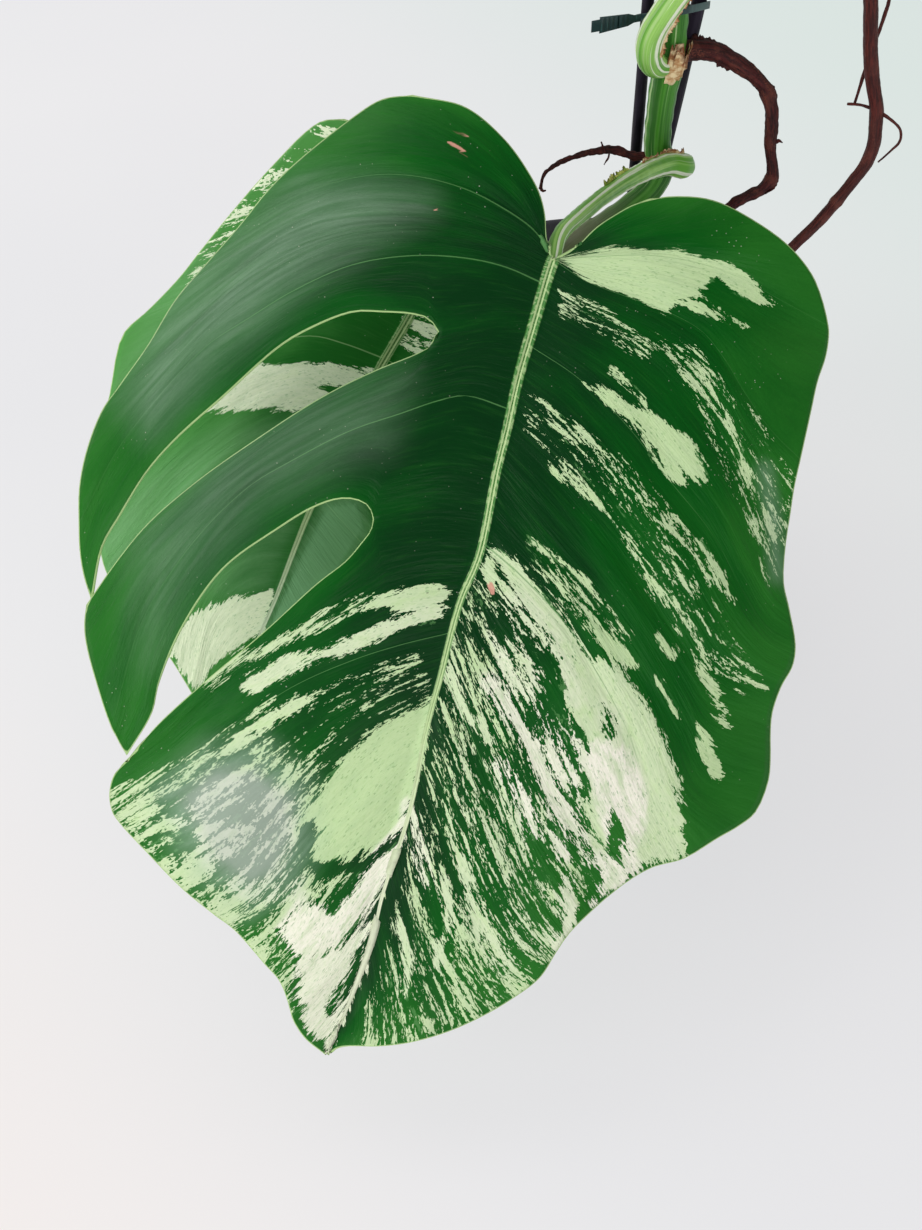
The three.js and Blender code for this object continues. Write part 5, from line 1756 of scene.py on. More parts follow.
ROOT_2 = [
    Limb([(24, 1, 267.5), (31, 2.9, 268.8), (41.8, 4, 267.4), (52.7, 2.6, 262.5), (63, 0.9, 254.6),
          (67.6, -0.4, 245.4), (69.6, -2.5, 227), (71.2, -5, 215.2), (68, -6.1, 211), (54, -8, 202.9),
          (44, -11, 185), (38, -14, 152), (36, -16, 128), (36, -16, 116)],
         [4.4, 4.3, 4, 3.4, 3.0, 2.9, 2.5, 2.7, 2.5, 2.3, 2.3, 2.2, 2, 1.8],
         BARK, sides=28, step=0.9, seed=37),
    Limb([(70.6, -2, 230), (72.6, -2.4, 231), (74.2, -2.6, 230.4)],
         [1.3, 0.9, 0.4], BARK, sides=10, step=0.6),
]
ROOT_3 = [
    Limb([(24, 0.5, 310), (34, 1, 313), (60, 2, 326), (86, 1.5, 322), (99, 0.5, 308), (102.5, 0, 290),
          (108, 2.3, 262), (113, 1, 244.4), (114.3, -0.8, 230.3), (112.5, -2.3, 221), (107, -4.4, 212.9),
          (95.2, -6.4, 195.7), (83.5, -8.2, 181.8), (67, -11, 160), (57, -13, 140), (53, -14, 126),
          (53, -14, 114)],
         [3.6, 3.6, 3.4, 3.2, 3.1, 3.1, 3.1, 3, 2.9, 2.8, 2.6, 2.5, 2.3, 2.2, 2.1, 2, 1.8],
         SMOOTH, sides=28, step=1.1, seed=41),
    Limb([(103, 0, 306), (108, 5, 300), (112, 8, 290), (109, 9, 266), (106.5, 8, 252), (105, 7, 243.5)],
         [0.9, 0.9, 0.9, 0.8, 0.7, 0.5], SMOOTH, sides=12, step=0.9, seed=43),
    Limb([(101, 3, 245.3), (107, 3, 244.8), (113, 2, 243), (119, -1, 240.5), (124.3, -2, 236),
          (125, -2.5, 231), (121.5, -3, 226.5), (117, -3.5, 222)],
         [0.5, 0.6, 0.8, 0.7, 0.6, 0.6, 0.5, 0.45], SMOOTH, sides=10, step=0.8, seed=47),
]
SHEATH = [
    Fin(PETIOLE_A, 12, 36, (0, 0.6, 0.75), 2.6, lean=0.8, spread=0.6, seed=51),
    Fin(PETIOLE_A, 24, 56, (0, 0.5, 0.85), 2.0, lean=0.8, spread=-0.7, seed=53),
    Fin(PETIOLE_C, 17, 52, (0.8, -0.35, -0.5), 2.2, lean=0.9, spread=0.6, seed=57),
    Cuff(STEM, 188, 15, (0.5, -0.85, 0), 1.5, flare=0.4, seed=59),
    Cuff(STEM, 192, 12, (0.85, -0.5, 0), 1.8, flare=0.6, seed=61),
    Cuff(STEM, 146, 7, (-0.3, -1, 0), 2.4, flare=0.16, seed=63),
    Cuff(STEM, 233, 13, (0.2, -1, 0.1), 2.6, flare=0.3, seed=65),
]
FRESH_SHEATH = [
    Fin(PETIOLE_A, 66, 84, (-0.2, 0.6, 0.75), 2.4, lean=1.0, spread=0.9, seed=56),
    Fin(PETIOLE_A, 82, 95, (-0.2, 0.5, 0.85), 3.0, lean=0.6, spread=-0.5, seed=58),
]
PEEL = [
    Fin(ROOT_2[0], 8, 20, (0, 0.6, 0.75), 2.6, lean=1.2, spread=-1.0, seed=71),
    Fin(ROOT_2[0], 20, 28, (0.3, -0.6, -0.7), 1.4, lean=0.9, spread=1.0, seed=73),
    Fin(ROOT_2[0], 45, 52, (0.9, 0.3, 0.3), 1.2, lean=0.8, spread=0.5, seed=75),
    Fin(ROOT_2[0], 84, 92, (0.9, -0.4, -0.2), 1.3, lean=0.8, spread=0.5, seed=77),
]


@dataclass(frozen=True)
class RolledLeaf:
    """The young leaf that ends the stem, rolled round itself."""

    core: Limb = Limb([(22, 2.15, 335.2), (22.3, 2.4, 345), (23.5, 3.6, 372), (25, 5.5, 405), (27, 8, 440)],
                      [4.0, 4.7, 4.2, 2.6, 0.5])
    turns: float = 2.3
    width: float = 60.0
    columns: int = 90
    rows: int = 90

    def mesh(self) -> Mesh:
        """The rolled sheet, with its free edge winding up it."""
        share = np.linspace(0, 1, self.rows)
        centres, _ways, first, second, radii = self.core.frames(share)
        w = np.linspace(0, 1, self.columns)[:, None]
        angle = w * FULL_TURN * self.turns + 1.6 * share - 2.2
        reach = (radii * (0.5 + 0.5 * w)) * (1 + 0.03 * np.sin(9 * angle) * w)
        outward = np.cos(angle)[..., None] * first + np.sin(angle)[..., None] * second
        grain = layered(w * self.width, share * self.core.length, 0.0)
        bm = new_sheet("grain", "tint")
        lay_grid(bm, centres + reach[..., None] * outward, {"grain": grain, "tint": layered(w, share, 0.0)})
        return close_sheet(bm, "new_leaf_roll", 0.001)


@dataclass(frozen=True)
class Pot:
    """The plain nursery pot, in millimetres."""

    height: float = 150.0
    wall: float = 1.8
    lip: float = 2.6
    lip_bottom: float = 138.0
    low_radius: float = 62.0
    high_radius: float = 81.4
    drains: int = 8
    drain_radius: float = 5.0
    drain_ring: float = 42.0
    steps: int = 128

    def radius(self, height: float) -> float:
        """The outside radius at a height, without the lip."""
        return self.low_radius + (self.high_radius - self.low_radius) * height / self.height

    def profile(self) -> list[tuple[float, float]]:
        """The wall's half section as (radius, height), round from the axis outside to the axis inside."""
        foot, low, high, inner = self.low_radius, self.lip_bottom, self.height, self.wall
        top, lip_foot, middle = self.radius(high), self.radius(low), 70
        return [
            (0, 0), (self.drain_ring, 0), (foot - 1.8, 0), (foot - 0.7, 0.35), (foot - 0.1, 1.1),
            (foot + 0.1, 2.2), (self.radius(middle), middle), (lip_foot + 0.1, low - 1.1),
            (lip_foot + 0.5, low - 0.5), (lip_foot + 2.2, low - 0.2), (lip_foot + self.lip, low + 0.4),
            (top + self.lip, high - 1.6), (top + 2.3, high - 0.6), (top + 1.6, high - 0.1),
            (top + 0.4, high), (top - 0.7, high - 0.3), (top - inner, high - 1.2),
            (self.radius(middle) - inner, middle), (self.radius(5) - inner, 5),
            (self.radius(3) - inner - 0.5, 3), (self.radius(inner) - 4, inner), (0, inner),
        ]

    def mesh(self) -> Mesh:
        """The pot with its drain holes."""
        bm = bmesh.new()
        verts = [bm.verts.new((x, 0, z)) for x, z in self.profile()]
        edges = [bm.edges.new(pair) for pair in zip(verts, verts[1:])]
        bmesh.ops.spin(bm, geom=[*verts, *edges], cent=(0, 0, 0), axis=(0, 0, 1), angle=FULL_TURN,
                       steps=self.steps, use_merge=True)
        wall = close_sheet(bm, "pot_wall", 0.01)
        bm = bmesh.new()
        for i in range(self.drains):
            turn = FULL_TURN * i / self.drains
            place = (math.cos(turn) * self.drain_ring, math.sin(turn) * self.drain_ring, 0)
            bmesh.ops.create_cone(bm, cap_ends=True, segments=32, radius1=self.drain_radius,
                                  radius2=self.drain_radius, depth=10, matrix=Matrix.Translation(place))
        holes = close_sheet(bm, "pot_holes", 0.001)
        return cut(wall, holes, "pot_moulding")


def cut(mesh: Mesh, cutter: Mesh, name: str) -> Mesh:
    """A mesh with another cut out of it.

    Args:
        mesh: what is cut.
        cutter: what is taken away.
        name: the result's name.

    Returns:
        The cut mesh.
    """
    body = bpy.data.objects.new("cut_body", mesh)
    tool = bpy.data.objects.new("cut_tool", cutter)
    for made in (body, tool):
        bpy.context.scene.collection.objects.link(made)
    step = body.modifiers.new("cut", "BOOLEAN")
    step.operation = "DIFFERENCE"
    step.solver = "EXACT"
    step.object = tool
    done = bpy.data.meshes.new_from_object(body.evaluated_get(bpy.context.evaluated_depsgraph_get()))
    done.name = name
    for made in (body, tool):
        bpy.data.objects.remove(made)
    for old in (mesh, cutter):
        bpy.data.meshes.remove(old)
    return done


@dataclass(frozen=True)
class Soil:
    """Damp potting mix with bark chips and a few grains of perlite on top, in millimetres."""

    pot: Pot = Pot()
    top: float = 130.0
    mound: float = 3.0
    gap: float = 0.35
    chips: int = 380
    perlite: float = 0.1
    seed: int = 5
    # Where stems, stakes and roots stand in it, with the room that each needs
    stands: Sequence[Spot] = (
        (-25, -5, 7), (13.2, 15, 4), (11.8, 5.6, 4.5), (36, -16, 3.5), (53, -14, 3.5),
    )

    def level(self, x: Array, y: Array) -> Array:
        """The surface's height."""
        rim = self.pot.radius(self.top) - self.pot.wall
        spots = np.stack([x, y, np.zeros_like(x)], axis=-1)
        coarse = rumple(spots, 16.0, self.seed).reshape(x.shape)
        fine = rumple(spots, 5.0, self.seed + 1).reshape(x.shape)
        reach = np.clip(1 - (x * x + y * y) / rim**2, 0, 1)
        return self.top + self.mound * reach + (0.8 * coarse + 0.5 * fine) * smooth(reach * 4)

    def bed(self, low: float) -> Mesh:
        """Makes the body of soil.

        Args:
            low: the height of its foot in millimetres.

        Returns:
            Its mesh.
        """
        angle = np.linspace(0, FULL_TURN, 161)
        angle[-1] = 0
        rim = self.pot.radius(self.top) - self.pot.wall - self.gap
        foot = self.pot.radius(low) - self.pot.wall - self.gap - 0.4
        reach = np.concatenate([rim * np.linspace(0, 1, 60) ** 0.8, [foot], [0]])
        x = np.cos(angle)[:, None] * reach
        y = np.sin(angle)[:, None] * reach
        z = self.level(x, y)
        z[:, -2:] = low
        bm = new_sheet()
        lay_grid(bm, np.stack([x, y, z], axis=-1), {})
        return close_sheet(bm, "soil_bed", 0.01)

    def litter(self) -> Mesh:
        """Chips of bark and grains of perlite, sunk into the surface."""
        draw = random.Random(self.seed)
        bm = new_sheet("tint")
        layer = bm.verts.layers.float_vector["tint"]
        rim = self.pot.radius(self.top) - self.pot.wall - 5
        for _ in range(self.chips):
            reach, turn = rim * math.sqrt(draw.random()), draw.uniform(0, FULL_TURN)
            x, y = reach * math.cos(turn), reach * math.sin(turn)
            white = draw.random() < self.perlite
            size = draw.uniform(1.0, 1.9) if white else draw.uniform(1.4, 4.2)
            shape = (1, 0.85, 0.8) if white else (1.0, draw.uniform(0.45, 0.8), draw.uniform(0.25, 0.45))
            tone = draw.random()
            if any(math.dist((x, y), stand[:2]) < stand[2] + size for stand in self.stands):
                continue
            ground = float(self.level(np.array([x]), np.array([y]))[0])
            middle = Vector((x, y, ground + size * shape[2] * 0.25))
            matrix = (
                Matrix.Translation(middle)
                @ Matrix.Rotation(draw.uniform(0, math.pi), 4, "Z")
                @ Matrix.Rotation(draw.uniform(-0.35, 0.35), 4, "X")
                @ Matrix.Diagonal((*shape, 1))
            )
            made = bmesh.ops.create_icosphere(bm, subdivisions=2, radius=size, matrix=matrix)
            spots = np.array([vert.co for vert in made["verts"]])
            swell = 1 + 0.22 * rumple(spots, size * 1.4, draw.randrange(10000))
            for vert, share in zip(made["verts"], swell):
                vert.co = middle + (vert.co - middle) * float(share)
                vert[layer] = (float(white), tone, 0)
        return close_sheet(bm, "soil_litter", 0.0001)


@dataclass(frozen=True)
class StalkFinish:
    """Smooth green skin with pale lengthwise stripes."""

    name: str
    base: Colour = srgb(120, 170, 88)
    dark: Colour = srgb(70, 128, 48)
    pale: Colour = srgb(196, 216, 168)
    white: Colour = srgb(232, 238, 214)
    scar: Colour = srgb(160, 130, 84)
    old: Colour = srgb(132, 128, 106)
    stripes: float = 0.56
    thread: float = 0.35
    aged: float = 0.0

    def make(self) -> Material:
        """Wires the finish."""
        s = Shader(self.name)
        grain = s.attribute("grain")
        node, share, _relief = s.parts(s.attribute("tint"))
        broad = s.noise(grain, (0.36, 0.36, 0.014))
        band = s.noise(grain, (0.62, 0.62, 0.006), 1.5)
        thin = s.noise(grain, (1.9, 1.9, 0.016))
        fine = s.noise(grain, (4.5, 4.5, 0.12))
        skin = s.mix(s.band(broad, 0.4, 0.6), self.dark, self.base)
        skin = s.glaze(skin, s.band(thin, 0.5, 0.64), self.thread, self.pale)
        skin = s.mix(s.band(band, self.stripes, self.stripes + 0.035), skin, self.white)
        skin = s.glaze(skin, s.band(fine, 0.5, 0.7), 0.2, self.dark)
        skin = s.glaze(skin, s.dots(grain, (1.1, 1.1, 0.5), 0.05, 0.12), 0.35, self.dark)
        skin = s.mix(s.band(share, 0.36, 0.52, self.aged, 0.0), skin, self.old)
        skin = s.glaze(skin, s.band(s.math("ADD", node, s.times(fine, 0.5)), 0.75, 1.3), 0.75, self.scar)
        s.bump(thin, 0.0003, 0.5)
        s.bump(fine, 0.00015, 0.6)
        return s.finish(skin, s.band(fine, 0.3, 0.7, 0.34, 0.5), 0.3)


@dataclass(frozen=True)
class BarkFinish:
    """Dry skin with lengthwise streaks and scuffs."""

    name: str
    dark: Colour
    base: Colour
    scuff: Colour
    rough: float = 0.55
    scuffed: float = 0.62

    def make(self) -> Material:
        """Wires the finish."""
        s = Shader(self.name)
        grain = s.attribute("grain")
        _node, _share, relief = s.parts(s.attribute("tint"))
        broad = s.noise(grain, (0.4, 0.4, 0.07), 3)
        streak = s.noise(grain, (1.6, 1.6, 0.16), 3, 0.6)
        fine = s.noise(grain, (3.4, 3.4, 1.4), 3, 0.65)
        skin = s.mix(s.band(streak, 0.36, 0.64), self.dark, self.base)
        skin = s.glaze(skin, s.band(broad, 0.4, 0.66), 0.6, self.dark)
        skin = s.glaze(skin, s.band(s.math("ADD", relief, s.times(fine, 0.6)), 0.3, 0.62), 0.45, self.scuff)
        scuffs = s.band(s.times(broad, fine), self.scuffed / 2, self.scuffed / 2 + 0.06)
        skin = s.mix(scuffs, skin, self.scuff)
        s.bump(streak, 0.0005, 0.7)
        s.bump(fine, 0.0005, 0.7)
        return s.finish(skin, s.band(fine, 0.3, 0.7, self.rough - 0.08, self.rough + 0.15), 0.25)


@dataclass(frozen=True)
class MouldedFinish:
    """Moulded plastic with a fine grain, and dust or scuffs where it is worn."""

    name: str
    base: Colour
    light: Colour
    rough: float = 0.42
    gloss: float = 0.4
    grain: float = 900.0
    worn: float = 0.25

    def make(self) -> Material:
        """Wires the finish."""
        s = Shader(self.name)
        place = s.place()
        cloud = s.noise(place, 45, 4, 0.6)
        skin = s.glaze(self.base, s.band(cloud, 0.4, 0.7), self.worn, self.light)
        scratch = s.noise(place, (900, 900, 60))
        skin = s.glaze(skin, s.band(scratch, 0.62, 0.7), self.worn, self.light)
        s.bump(s.noise(place, self.grain), 0.0001, 0.5)
        s.bump(cloud, 0.0004, 0.4)
        return s.finish(skin, s.band(cloud, 0.3, 0.7, self.rough - 0.06, self.rough + 0.14), self.gloss)


def papery_finish(name: str, light: Colour, base: Colour, torn: Colour) -> Material:
    """Wires thready sheath tissue that goes brown at its torn edge.

    Args:
        name: the material's name.
        light: its threads' colour.
        base: the tissue's colour.
        torn: the torn edge's colour.

    Returns:
        The material.
    """
    s = Shader(name)
    grain = s.attribute("grain")
    free, *_ = s.parts(s.attribute("tint"))
    thread = s.noise(grain, (0.5, 2.4, 1.0), 3, 0.6)
    blot = s.noise(grain, (0.35, 0.35, 1.0), 3)
    skin = s.mix(s.band(blot, 0.38, 0.6), light, base)
    skin = s.glaze(skin, s.band(thread, 0.45, 0.65), 0.5, light)
    skin = s.glaze(skin, s.band(s.math("ADD", free, blot), 1.1, 1.5), 0.7, torn)
    s.bump(thread, 0.0003, 0.7)
    return s.finish(skin, 0.75, 0.15)


def soil_finish() -> Material:
    """Damp peat with pale fibres."""
    s = Shader("damp_mix")
    place = s.place()
    lump = s.noise(place, 160, 5, 0.65)
    crumb = s.noise(place, 900, 3, 0.6)
    skin = s.ramp(lump, (0.3, srgb(26, 20, 20)), (0.5, srgb(56, 42, 40)), (0.68, srgb(92, 76, 70)))
    skin = s.glaze(skin, s.band(crumb, 0.58, 0.7), 0.5, srgb(120, 104, 92))
    s.bump(lump, 0.003, 0.7)
    s.bump(crumb, 0.0008, 0.7)
    return s.finish(skin, 0.85, 0.15)


def litter_finish() -> Material:
    """Bark chips of several browns, and white perlite."""
    s = Shader("bark_and_perlite")
    white, tone, _none = s.parts(s.attribute("tint"))
    grit = s.noise(s.place(), (500, 900, 500), 3, 0.6)
    browns = [srgb(52, 34, 28), srgb(84, 56, 42), srgb(118, 82, 60), srgb(70, 60, 58)]
    bark = s.ramp(tone, *zip((0.0, 0.4, 0.75, 1.0), browns))
    chip = s.glaze(bark, s.band(grit, 0.45, 0.65), 0.5, srgb(40, 28, 26))
    grain = s.mix(s.band(grit, 0.4, 0.7), srgb(226, 224, 216), srgb(186, 182, 172))
    s.bump(grit, 0.001, 0.7)
    return s.finish(s.mix(white, chip, grain), 0.8, 0.15)


@dataclass(frozen=True)
class Foliage:
    """One blade: its outline, bend and place, its markings, and how finely it is meshed."""

    node: str
    outline: Outline
    bend: Bend
    spot: Union[SightPlace, FreePlace]
    pattern: Pattern
    seed: float
    rim_step: float = 9.0
    step: float = 1 / 110
    rows: tuple[int, int, int] = (6, 14, 48)
    back_rib: float = 2.2
    face_rib: float = 0.5
    side_rib: float = 0.35
    RIB_MARKS = 160

    def build(self, finishes: Sequence[Material]) -> bpy.types.Object:
        """Makes the blade and puts it in its node's place.

        Args:
            finishes: the face's, the back's and the margin's materials.

        Returns:
            The blade's object.
        """
        inner, middle, outer = self.rows
        rows = np.concatenate([
            np.linspace(0, RIB_ROW, inner),
            np.linspace(RIB_ROW, SPLIT_ROW, middle)[1:],
            np.linspace(SPLIT_ROW, 1, outer)[1:],
        ])
        grid = BladeGrid(self.outline, rows, self.rim_step, self.step)
        mesh, lie = self._sheet(grid)
        unit = self.spot.unit
        rib_half = RIB_HALF * (1 - RIB_TAPER * lie.station) * LEAF_SCALE
        rib = distance_to(lie.sheet, [grid.midrib.along(np.linspace(0, 1, self.RIB_MARKS))]) / rib_half
        vein = np.full(len(lie.row), FAR)
        for line, pale in grid.creases():
            apart = distance_to(lie.sheet, [line]) * unit
            vein = np.minimum(vein, apart * (1 + VEIN_THINNING * lie.row) / pale)
            lie.crease = np.maximum(lie.crease, pale * np.exp(-((apart / CREASE_HALF) ** 2)))
        edge = distance_to(lie.sheet, grid.margin()) * unit
        places = self.spot.set_out(self.outline, self.bend, lie) * MM
        normals = self._moved(mesh, places)
        if float((normals @ self.spot.front).mean()) < 0:
            mesh.flip_normals()
            normals = self._moved(mesh, places)
        ridge = np.exp(-(((rib - 0.55) / 0.32) ** 2)) + 0.25 * np.exp(-((rib / 0.3) ** 2))
        ridge *= self.face_rib * (1 - RIDGE_TAPER * lie.station)
        self._moved(mesh, places + normals * ((BLADE_THICKNESS / 2 + ridge)[:, None] * MM))
        self._write(mesh, "grain", layered(lie.across, lie.along, self.seed))
        self._write(mesh, "marbling", self.pattern.fields(lie.sheet, unit))
        self._write(mesh, "spread", layered(lie.row, lie.station, self.pattern.scars(lie.sheet, unit)))
        # The painted sheen's strength at each point
        self._write(mesh, "painted_sheen", layered(*[self.pattern.painted_sheen(lie.sheet, unit)] * 3))
        self._write(mesh, "lines", layered(np.clip(rib, 0, FAR), vein, edge))
        blade = add_piece(mesh, Slot.LEAF, finishes, self.node)
        self._thicken(blade, self._thickness(lie, rib))
        return blade

    def _sheet(self, grid: BladeGrid) -> tuple[Mesh, Lie]:
        """Makes the flat sheet, joined along the veins and the midrib.

        Args:
            grid: the leaf's own grid.

        Returns:
            The sheet's mesh and where its points lie.
        """
        bm = new_sheet("near", "far")
        for side in (0, 1):
            for panel in grid.panels(side, self.spot.unit):
                places = layered(panel.sheet[..., 0], panel.sheet[..., 1], 0.0)
                near = layered(panel.station, panel.row, panel.turn)
                far = layered(panel.swell, panel.across, panel.along)
                lay_grid(bm, places, {"near": near, "far": far})
        mesh = close_sheet(bm, f"{self.node}_blade", 0.012, scale=1.0)
        near, far = self._taken(mesh, "near"), self._taken(mesh, "far")
        sheet = self._read(mesh, mesh.vertices, "co")[:, :2]
        return mesh, Lie(sheet, *near.T, *far.T, np.zeros(len(sheet)))

    @staticmethod
    def _read(mesh: Mesh, rows: Sequence[object], name: str) -> Array:
        """A vector of each of the mesh's points, one row each."""
        values = np.zeros(len(mesh.vertices) * 3, np.float32)
        rows.foreach_get(name, values)
        return values.reshape(-1, 3).astype(float)

    def _taken(self, mesh: Mesh, name: str) -> Array:
        """Takes a vector attribute off the mesh.

        Args:
            mesh: the mesh.
            name: the attribute's name.

        Returns:
            Its values, one row for each point.
        """
        values = self._read(mesh, mesh.attributes[name].data, "vector")
        mesh.attributes.remove(mesh.attributes[name])
        return values

    @staticmethod
    def _write(mesh: Mesh, name: str, values: Array) -> None:
        """Adds a vector attribute to the mesh."""
        made = mesh.attributes.new(name, "FLOAT_VECTOR", "POINT")
        made.data.foreach_set("vector", values.astype(np.float32).ravel())

    def _moved(self, mesh: Mesh, places: Array) -> Array:
        """Moves the mesh's points.

        Args:
            mesh: the mesh.
            places: the points' new places in metres.

        Returns:
            The points' normals there.
        """
        mesh.vertices.foreach_set("co", places.ravel())
        mesh.update()
        return self._read(mesh, mesh.vertex_normals, "vector")

    def _thickness(self, lie: Lie, rib: Array) -> Array:
        """Works out the blade's thickness, with its ribs standing out at the back.

        Args:
            lie: where the points lie.
            rib: their distance from the midrib in its half widths.

        Returns:
            Millimetres at each point.
        """
        taper = (1 - RIDGE_TAPER * lie.station) * smooth(lie.station / 0.04)
        keel = self.back_rib * taper * np.exp(-((rib / 0.8) ** 2))
        return BLADE_THICKNESS + keel + self.side_rib * lie.crease * (1 - lie.row)

    @staticmethod
    def _thicken(blade: bpy.types.Object, thickness: Array) -> None:
        """Gives the sheet its thickness behind the face.

        Args:
            blade: the sheet.
            thickness: millimetres at each of its points.
        """
        most = float(thickness.max())
        group = blade.vertex_groups.new(name="thickness")
        for index, share in enumerate((thickness / most).tolist()):
            group.add([index], share, "REPLACE")
        solid = blade.modifiers.new("thickness", "SOLIDIFY")
        solid.thickness = most * MM
        solid.offset = -1.0
        solid.vertex_group = group.name
        solid.material_offset = 1
        solid.material_offset_rim = 2


@dataclass(frozen=True)
class Studio:
    """The plain floor, the soft lights and the camera."""

    floor_size: float = 16.0
    floor_share: float = 0.26
    glow: float = 0.74
    sky: float = 0.4

    def build(self) -> None:
        """Sets the stage."""
        self._floor()
        self._world()
        self._light("top", (-1.1, 1.0, 2.1), 2.4, 32)
        self._light("left", (-1.25, -1.1, 0.75), 0.9, 12)
        self._light("front", (0.5, -2.4, 0.75), 1.6, 18)
        self._camera()

    def _floor(self) -> None:
        """A pale sheet of floor, which gives back a little light of its own so that shadows stay faint."""
        bm = new_sheet()
        bmesh.ops.create_grid(bm, x_segments=2, y_segments=2, size=self.floor_size / 2)
        mesh = close_sheet(bm, "floor", 0.001, scale=1.0)
        s = Shader("floor_paper")
        place = s.place()
        x, y, _z = s.parts(place)
        tint = s.mix(s.noise(place, 2.5), srgb(240, 239, 240), srgb(232, 232, 235))
        tint = s.glaze(tint, s.band(s.total((x, 1.0), (y, 0.55)), 0.05, 0.7), 0.7, srgb(218, 233, 227))
        warm = s.band(s.total((x, 1.0), (y, 0.8)), -0.62, -0.3, 1.0, 0.0)
        tint = s.glaze(tint, warm, 0.6, srgb(250, 240, 235))
        paper = s.mix(self.floor_share, (0.0, 0.0, 0.0), tint)
        mesh.materials.append(s.finish(paper, 0.9, 0.0, Emission_Color=tint, Emission_Strength=self.glow))
        floor = bpy.data.objects.new("floor", mesh)
        bpy.context.scene.collection.objects.link(floor)

    def _world(self) -> None:
        """Soft light from all round."""
        world = bpy.data.worlds.new("soft_room")
        world.use_nodes = True
        back = world.node_tree.nodes["Background"]
        back.inputs[0].default_value = (1.0, 1.0, 1.0, 1.0)
        back.inputs[1].default_value = self.sky
        bpy.context.scene.world = world

    @staticmethod
    def _light(name: str, place: Spot, size: float, watts: float) -> None:
        """Adds a soft square light that looks at the plant.

        Args:
            name: its name.
            place: where it stands, in metres.
            size: its side in metres.
            watts: its power.
        """
        lamp = bpy.data.lights.new(name, "AREA")
        lamp.size = size
        lamp.energy = watts
        light = bpy.data.objects.new(name, lamp)
        light.location = place
        light.rotation_euler = (Vector((0, 0, 0.25)) - Vector(place)).to_track_quat("-Z", "Y").to_euler()
        bpy.context.scene.collection.objects.link(light)

    @staticmethod
    def _camera() -> None:
        """The camera at the photo's viewing angle."""
        lens = bpy.data.cameras.new("camera")
        lens.sensor_width = 36.0
        lens.lens = SIGHT.steps / max(SIGHT.sheet) * lens.sensor_width
        lens.clip_start = 0.01
        lens.clip_end = 100.0
        camera = bpy.data.objects.new("camera", lens)
        camera.location = Vector(SIGHT.eye) * MM
        camera.rotation_euler = (math.pi / 2 - SIGHT.pitch, 0, 0)
        bpy.context.scene.collection.objects.link(camera)
        bpy.context.scene.camera = camera


def build_foliage() -> None:
    """The four open leaves and the rolled one."""
    face = LeafFinish("leaf_face").make()
    # Leaf B's face: a lighter copy of the face colours, painted light that makes up for the shade that leaf
    # A casts on it.
    face_painted_lighter = LeafFinish("leaf_face_painted_lighter", dark=srgb(30, 106, 34), bright=srgb(72, 144, 66),
                       outer=srgb(84, 152, 72), mid=srgb(150, 192, 130), white=srgb(255, 255, 244),
                       cream=srgb(240, 252, 216), wash=srgb(196, 224, 166), sheen_paint=srgb(150, 200, 148),
                       painted_shine=srgb(140, 194, 144)).make()
    back = LeafFinish("leaf_back", dark=srgb(52, 104, 52), bright=srgb(84, 136, 74),
                      outer=srgb(96, 144, 84), rough=0.6, gloss=0.15).make()
    rim = LeafFinish("leaf_margin", dark=srgb(120, 160, 90), bright=srgb(150, 180, 110),
                     outer=srgb(150, 180, 110)).make()
    leaves = [
        Foliage("leaf_a", LEAF_A, BEND_A, PLACE_A, PATTERN_A, 0.0),
        Foliage("leaf_b", LEAF_B, BEND_B, PLACE_B, PATTERN_B, 7.0, rim_step=13.0, rows=(5, 9, 30)),
        Foliage("leaf_c", LEAF_A, BEND_C, PLACE_C, PATTERN_C, 13.0, rim_step=12.0, rows=(5, 10, 34)),
        Foliage("leaf_d", LEAF_A, BEND_D, PLACE_D, PATTERN_D, 19.0, rim_step=12.0, rows=(5, 10, 34)),
    ]
    for leaf in leaves:
        leaf.build([face_painted_lighter if leaf.node == "leaf_b" else face, back, rim])
    tender = StalkFinish("tender_leaf", base=srgb(176, 208, 130), dark=srgb(120, 172, 84),
                         stripes=0.6).make()
    thicken(add_piece(RolledLeaf().mesh(), Slot.LEAF, [tender], "new_leaf"), 0.35)


def build_stems() -> None:
    """The stem, the stalks and their dry sheaths."""
    stem = StalkFinish("stem_skin", base=srgb(70, 138, 40), dark=srgb(34, 98, 12), pale=srgb(118, 166, 92),
                       white=srgb(168, 200, 136), stripes=0.64, thread=0.2, aged=0.8).make()
    stalk = StalkFinish("stalk_skin", base=srgb(156, 204, 104), dark=srgb(96, 162, 50),
                        stripes=0.575).make()
    add_piece(grow("stem_skin", [STEM]), Slot.STEM, [stem], "stem")
    for node, limb, outline, spot in (
        ("petiole_a", PETIOLE_A, LEAF_A, PLACE_A), ("petiole_b", PETIOLE_B, LEAF_B, PLACE_B),
        ("petiole_c", PETIOLE_C, LEAF_A, PLACE_C), ("petiole_d", PETIOLE_D, LEAF_A, PLACE_D),
    ):
        whole = joined(limb, spot.foot(outline), spot.front, spot.down)
        add_piece(grow(f"{node}_skin", [whole]), Slot.STEM, [stalk], node)
    paper = papery_finish("dry_sheath", srgb(236, 212, 170), srgb(186, 136, 88), srgb(104, 40, 26))
    green = papery_finish("fresh_sheath", srgb(214, 214, 120), srgb(150, 176, 70), srgb(60, 50, 24))
    thicken(add_piece(grow("dry_sheath", SHEATH), Slot.STEM, [paper]), 0.28)
    thicken(add_piece(grow("fresh_sheath", FRESH_SHEATH), Slot.STEM, [green]), 0.28)


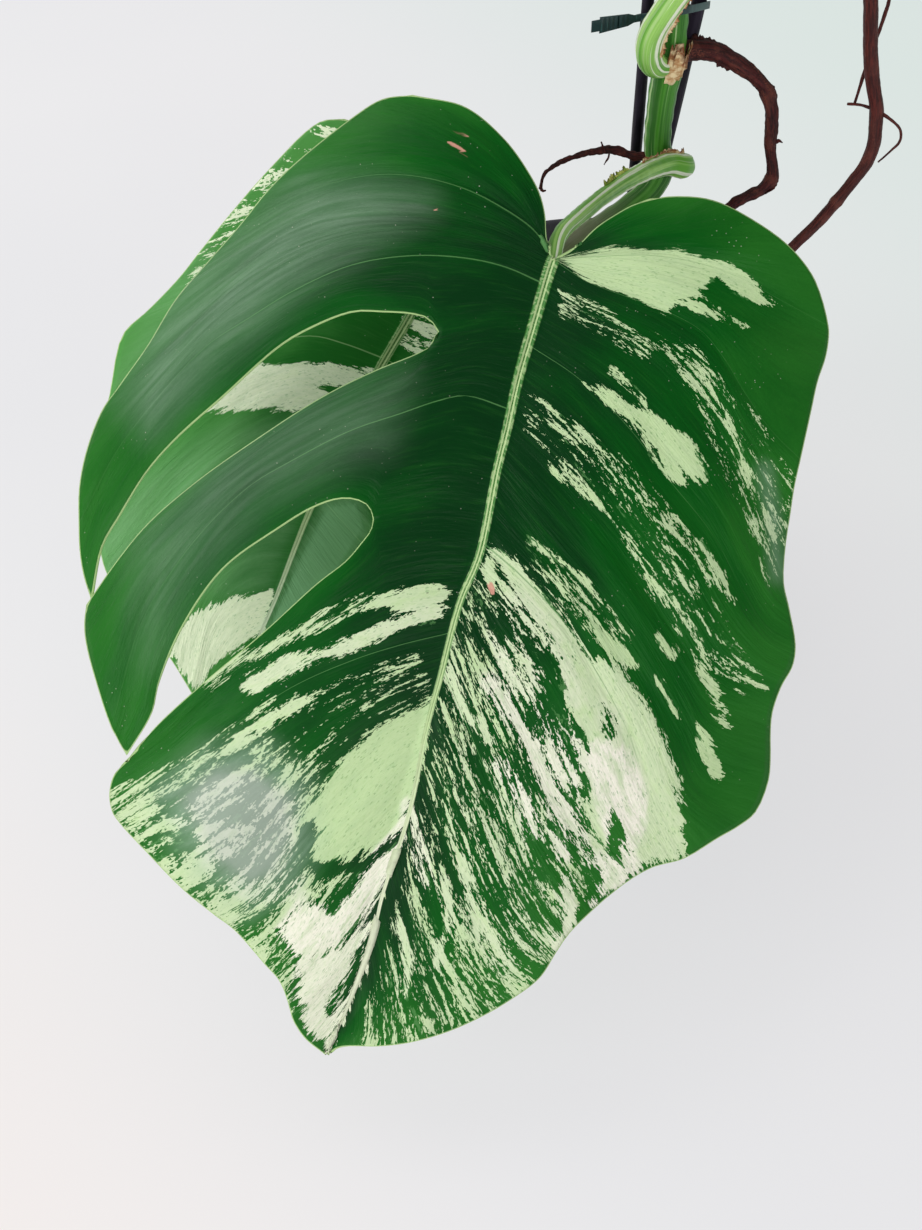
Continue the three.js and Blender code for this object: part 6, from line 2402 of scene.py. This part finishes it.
def build_roots() -> None:
    """The aerial roots with their rootlets and peeling bark."""
    rough = BarkFinish("root_bark", srgb(36, 9, 12), srgb(80, 26, 26), srgb(104, 52, 42), 0.6).make()
    fresh = BarkFinish("root_skin", srgb(50, 12, 12), srgb(92, 34, 28), srgb(116, 62, 52), 0.48, 0.8).make()
    add_piece(grow("root_1_bark", ROOT_1), Slot.ROOT, [rough], "root_1")
    add_piece(grow("root_2_bark", ROOT_2), Slot.ROOT, [rough], "root_2")
    add_piece(grow("root_3_bark", ROOT_3), Slot.ROOT, [fresh], "root_3")
    thicken(add_piece(grow("root_2_peel", PEEL), Slot.ROOT, [rough]), 0.3)


def build_supports() -> None:
    """The two stakes and the tie."""
    coat = MouldedFinish("stake_coat", srgb(12, 7, 20), srgb(60, 48, 72), 0.45, 0.22, 1400, 0.4).make()
    ridge = Skin(ribs=0.06, rib_size=1.6)
    level = 130
    for node, (x, y), (run_x, run_y), radius in (("stake_left", (13.2, 15), (0, 0), 2.6),
                                                 ("stake_right", (11.8, 5.6), (0.143, 0.041), 3.2)):
        ends = [(x + run_x * (z - level), y + run_y * (z - level), z) for z in (12, level, 240, 345)]
        stake = Limb(ends, [radius * 0.98] * 4, ridge, sides=32, step=3.0, dome=0.25, seed=81)
        add_piece(grow(f"{node}_rod", [stake]), Slot.STAKE, [coat], node)
    plastic = MouldedFinish("tie_plastic", srgb(10, 42, 45), srgb(70, 116, 112), 0.34, 0.5, 1600,
                            worn=0.3).make()
    bm = new_sheet()
    bm.from_mesh(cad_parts["plant_tie"].data)
    tie = add_piece(close_sheet(bm, "tie_moulding", 1e-5, scale=1.0), Slot.TIE, [plastic], "plant_tie")
    bevel = tie.modifiers.new("edges", "BEVEL")
    bevel.width = 0.3 * MM
    bevel.segments = 3
    bevel.limit_method = "ANGLE"
    bevel.angle_limit = math.radians(40)


def build_pot() -> None:
    """The pot and the soil in it."""
    plastic = MouldedFinish("pot_plastic", srgb(62, 58, 68), srgb(120, 118, 126), 0.5, 0.35, 700,
                            worn=0.22).make()
    add_piece(Pot().mesh(), Slot.POT, [plastic], "pot")
    soil = Soil()
    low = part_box("soil")[0][2] / MM
    add_piece(soil.bed(low), Slot.SOIL, [soil_finish()], "soil")
    add_piece(soil.litter(), Slot.SOIL, [litter_finish()])


def main() -> None:
    """Sets the stage and dresses the plant piece by piece."""
    logging.basicConfig(level=logging.INFO, format="%(message)s")
    bpy.context.scene.view_settings.view_transform = "Standard"
    Studio().build()
    build_foliage()
    build_stems()
    build_roots()
    build_supports()
    build_pot()


if __name__ == "__main__":
    main()
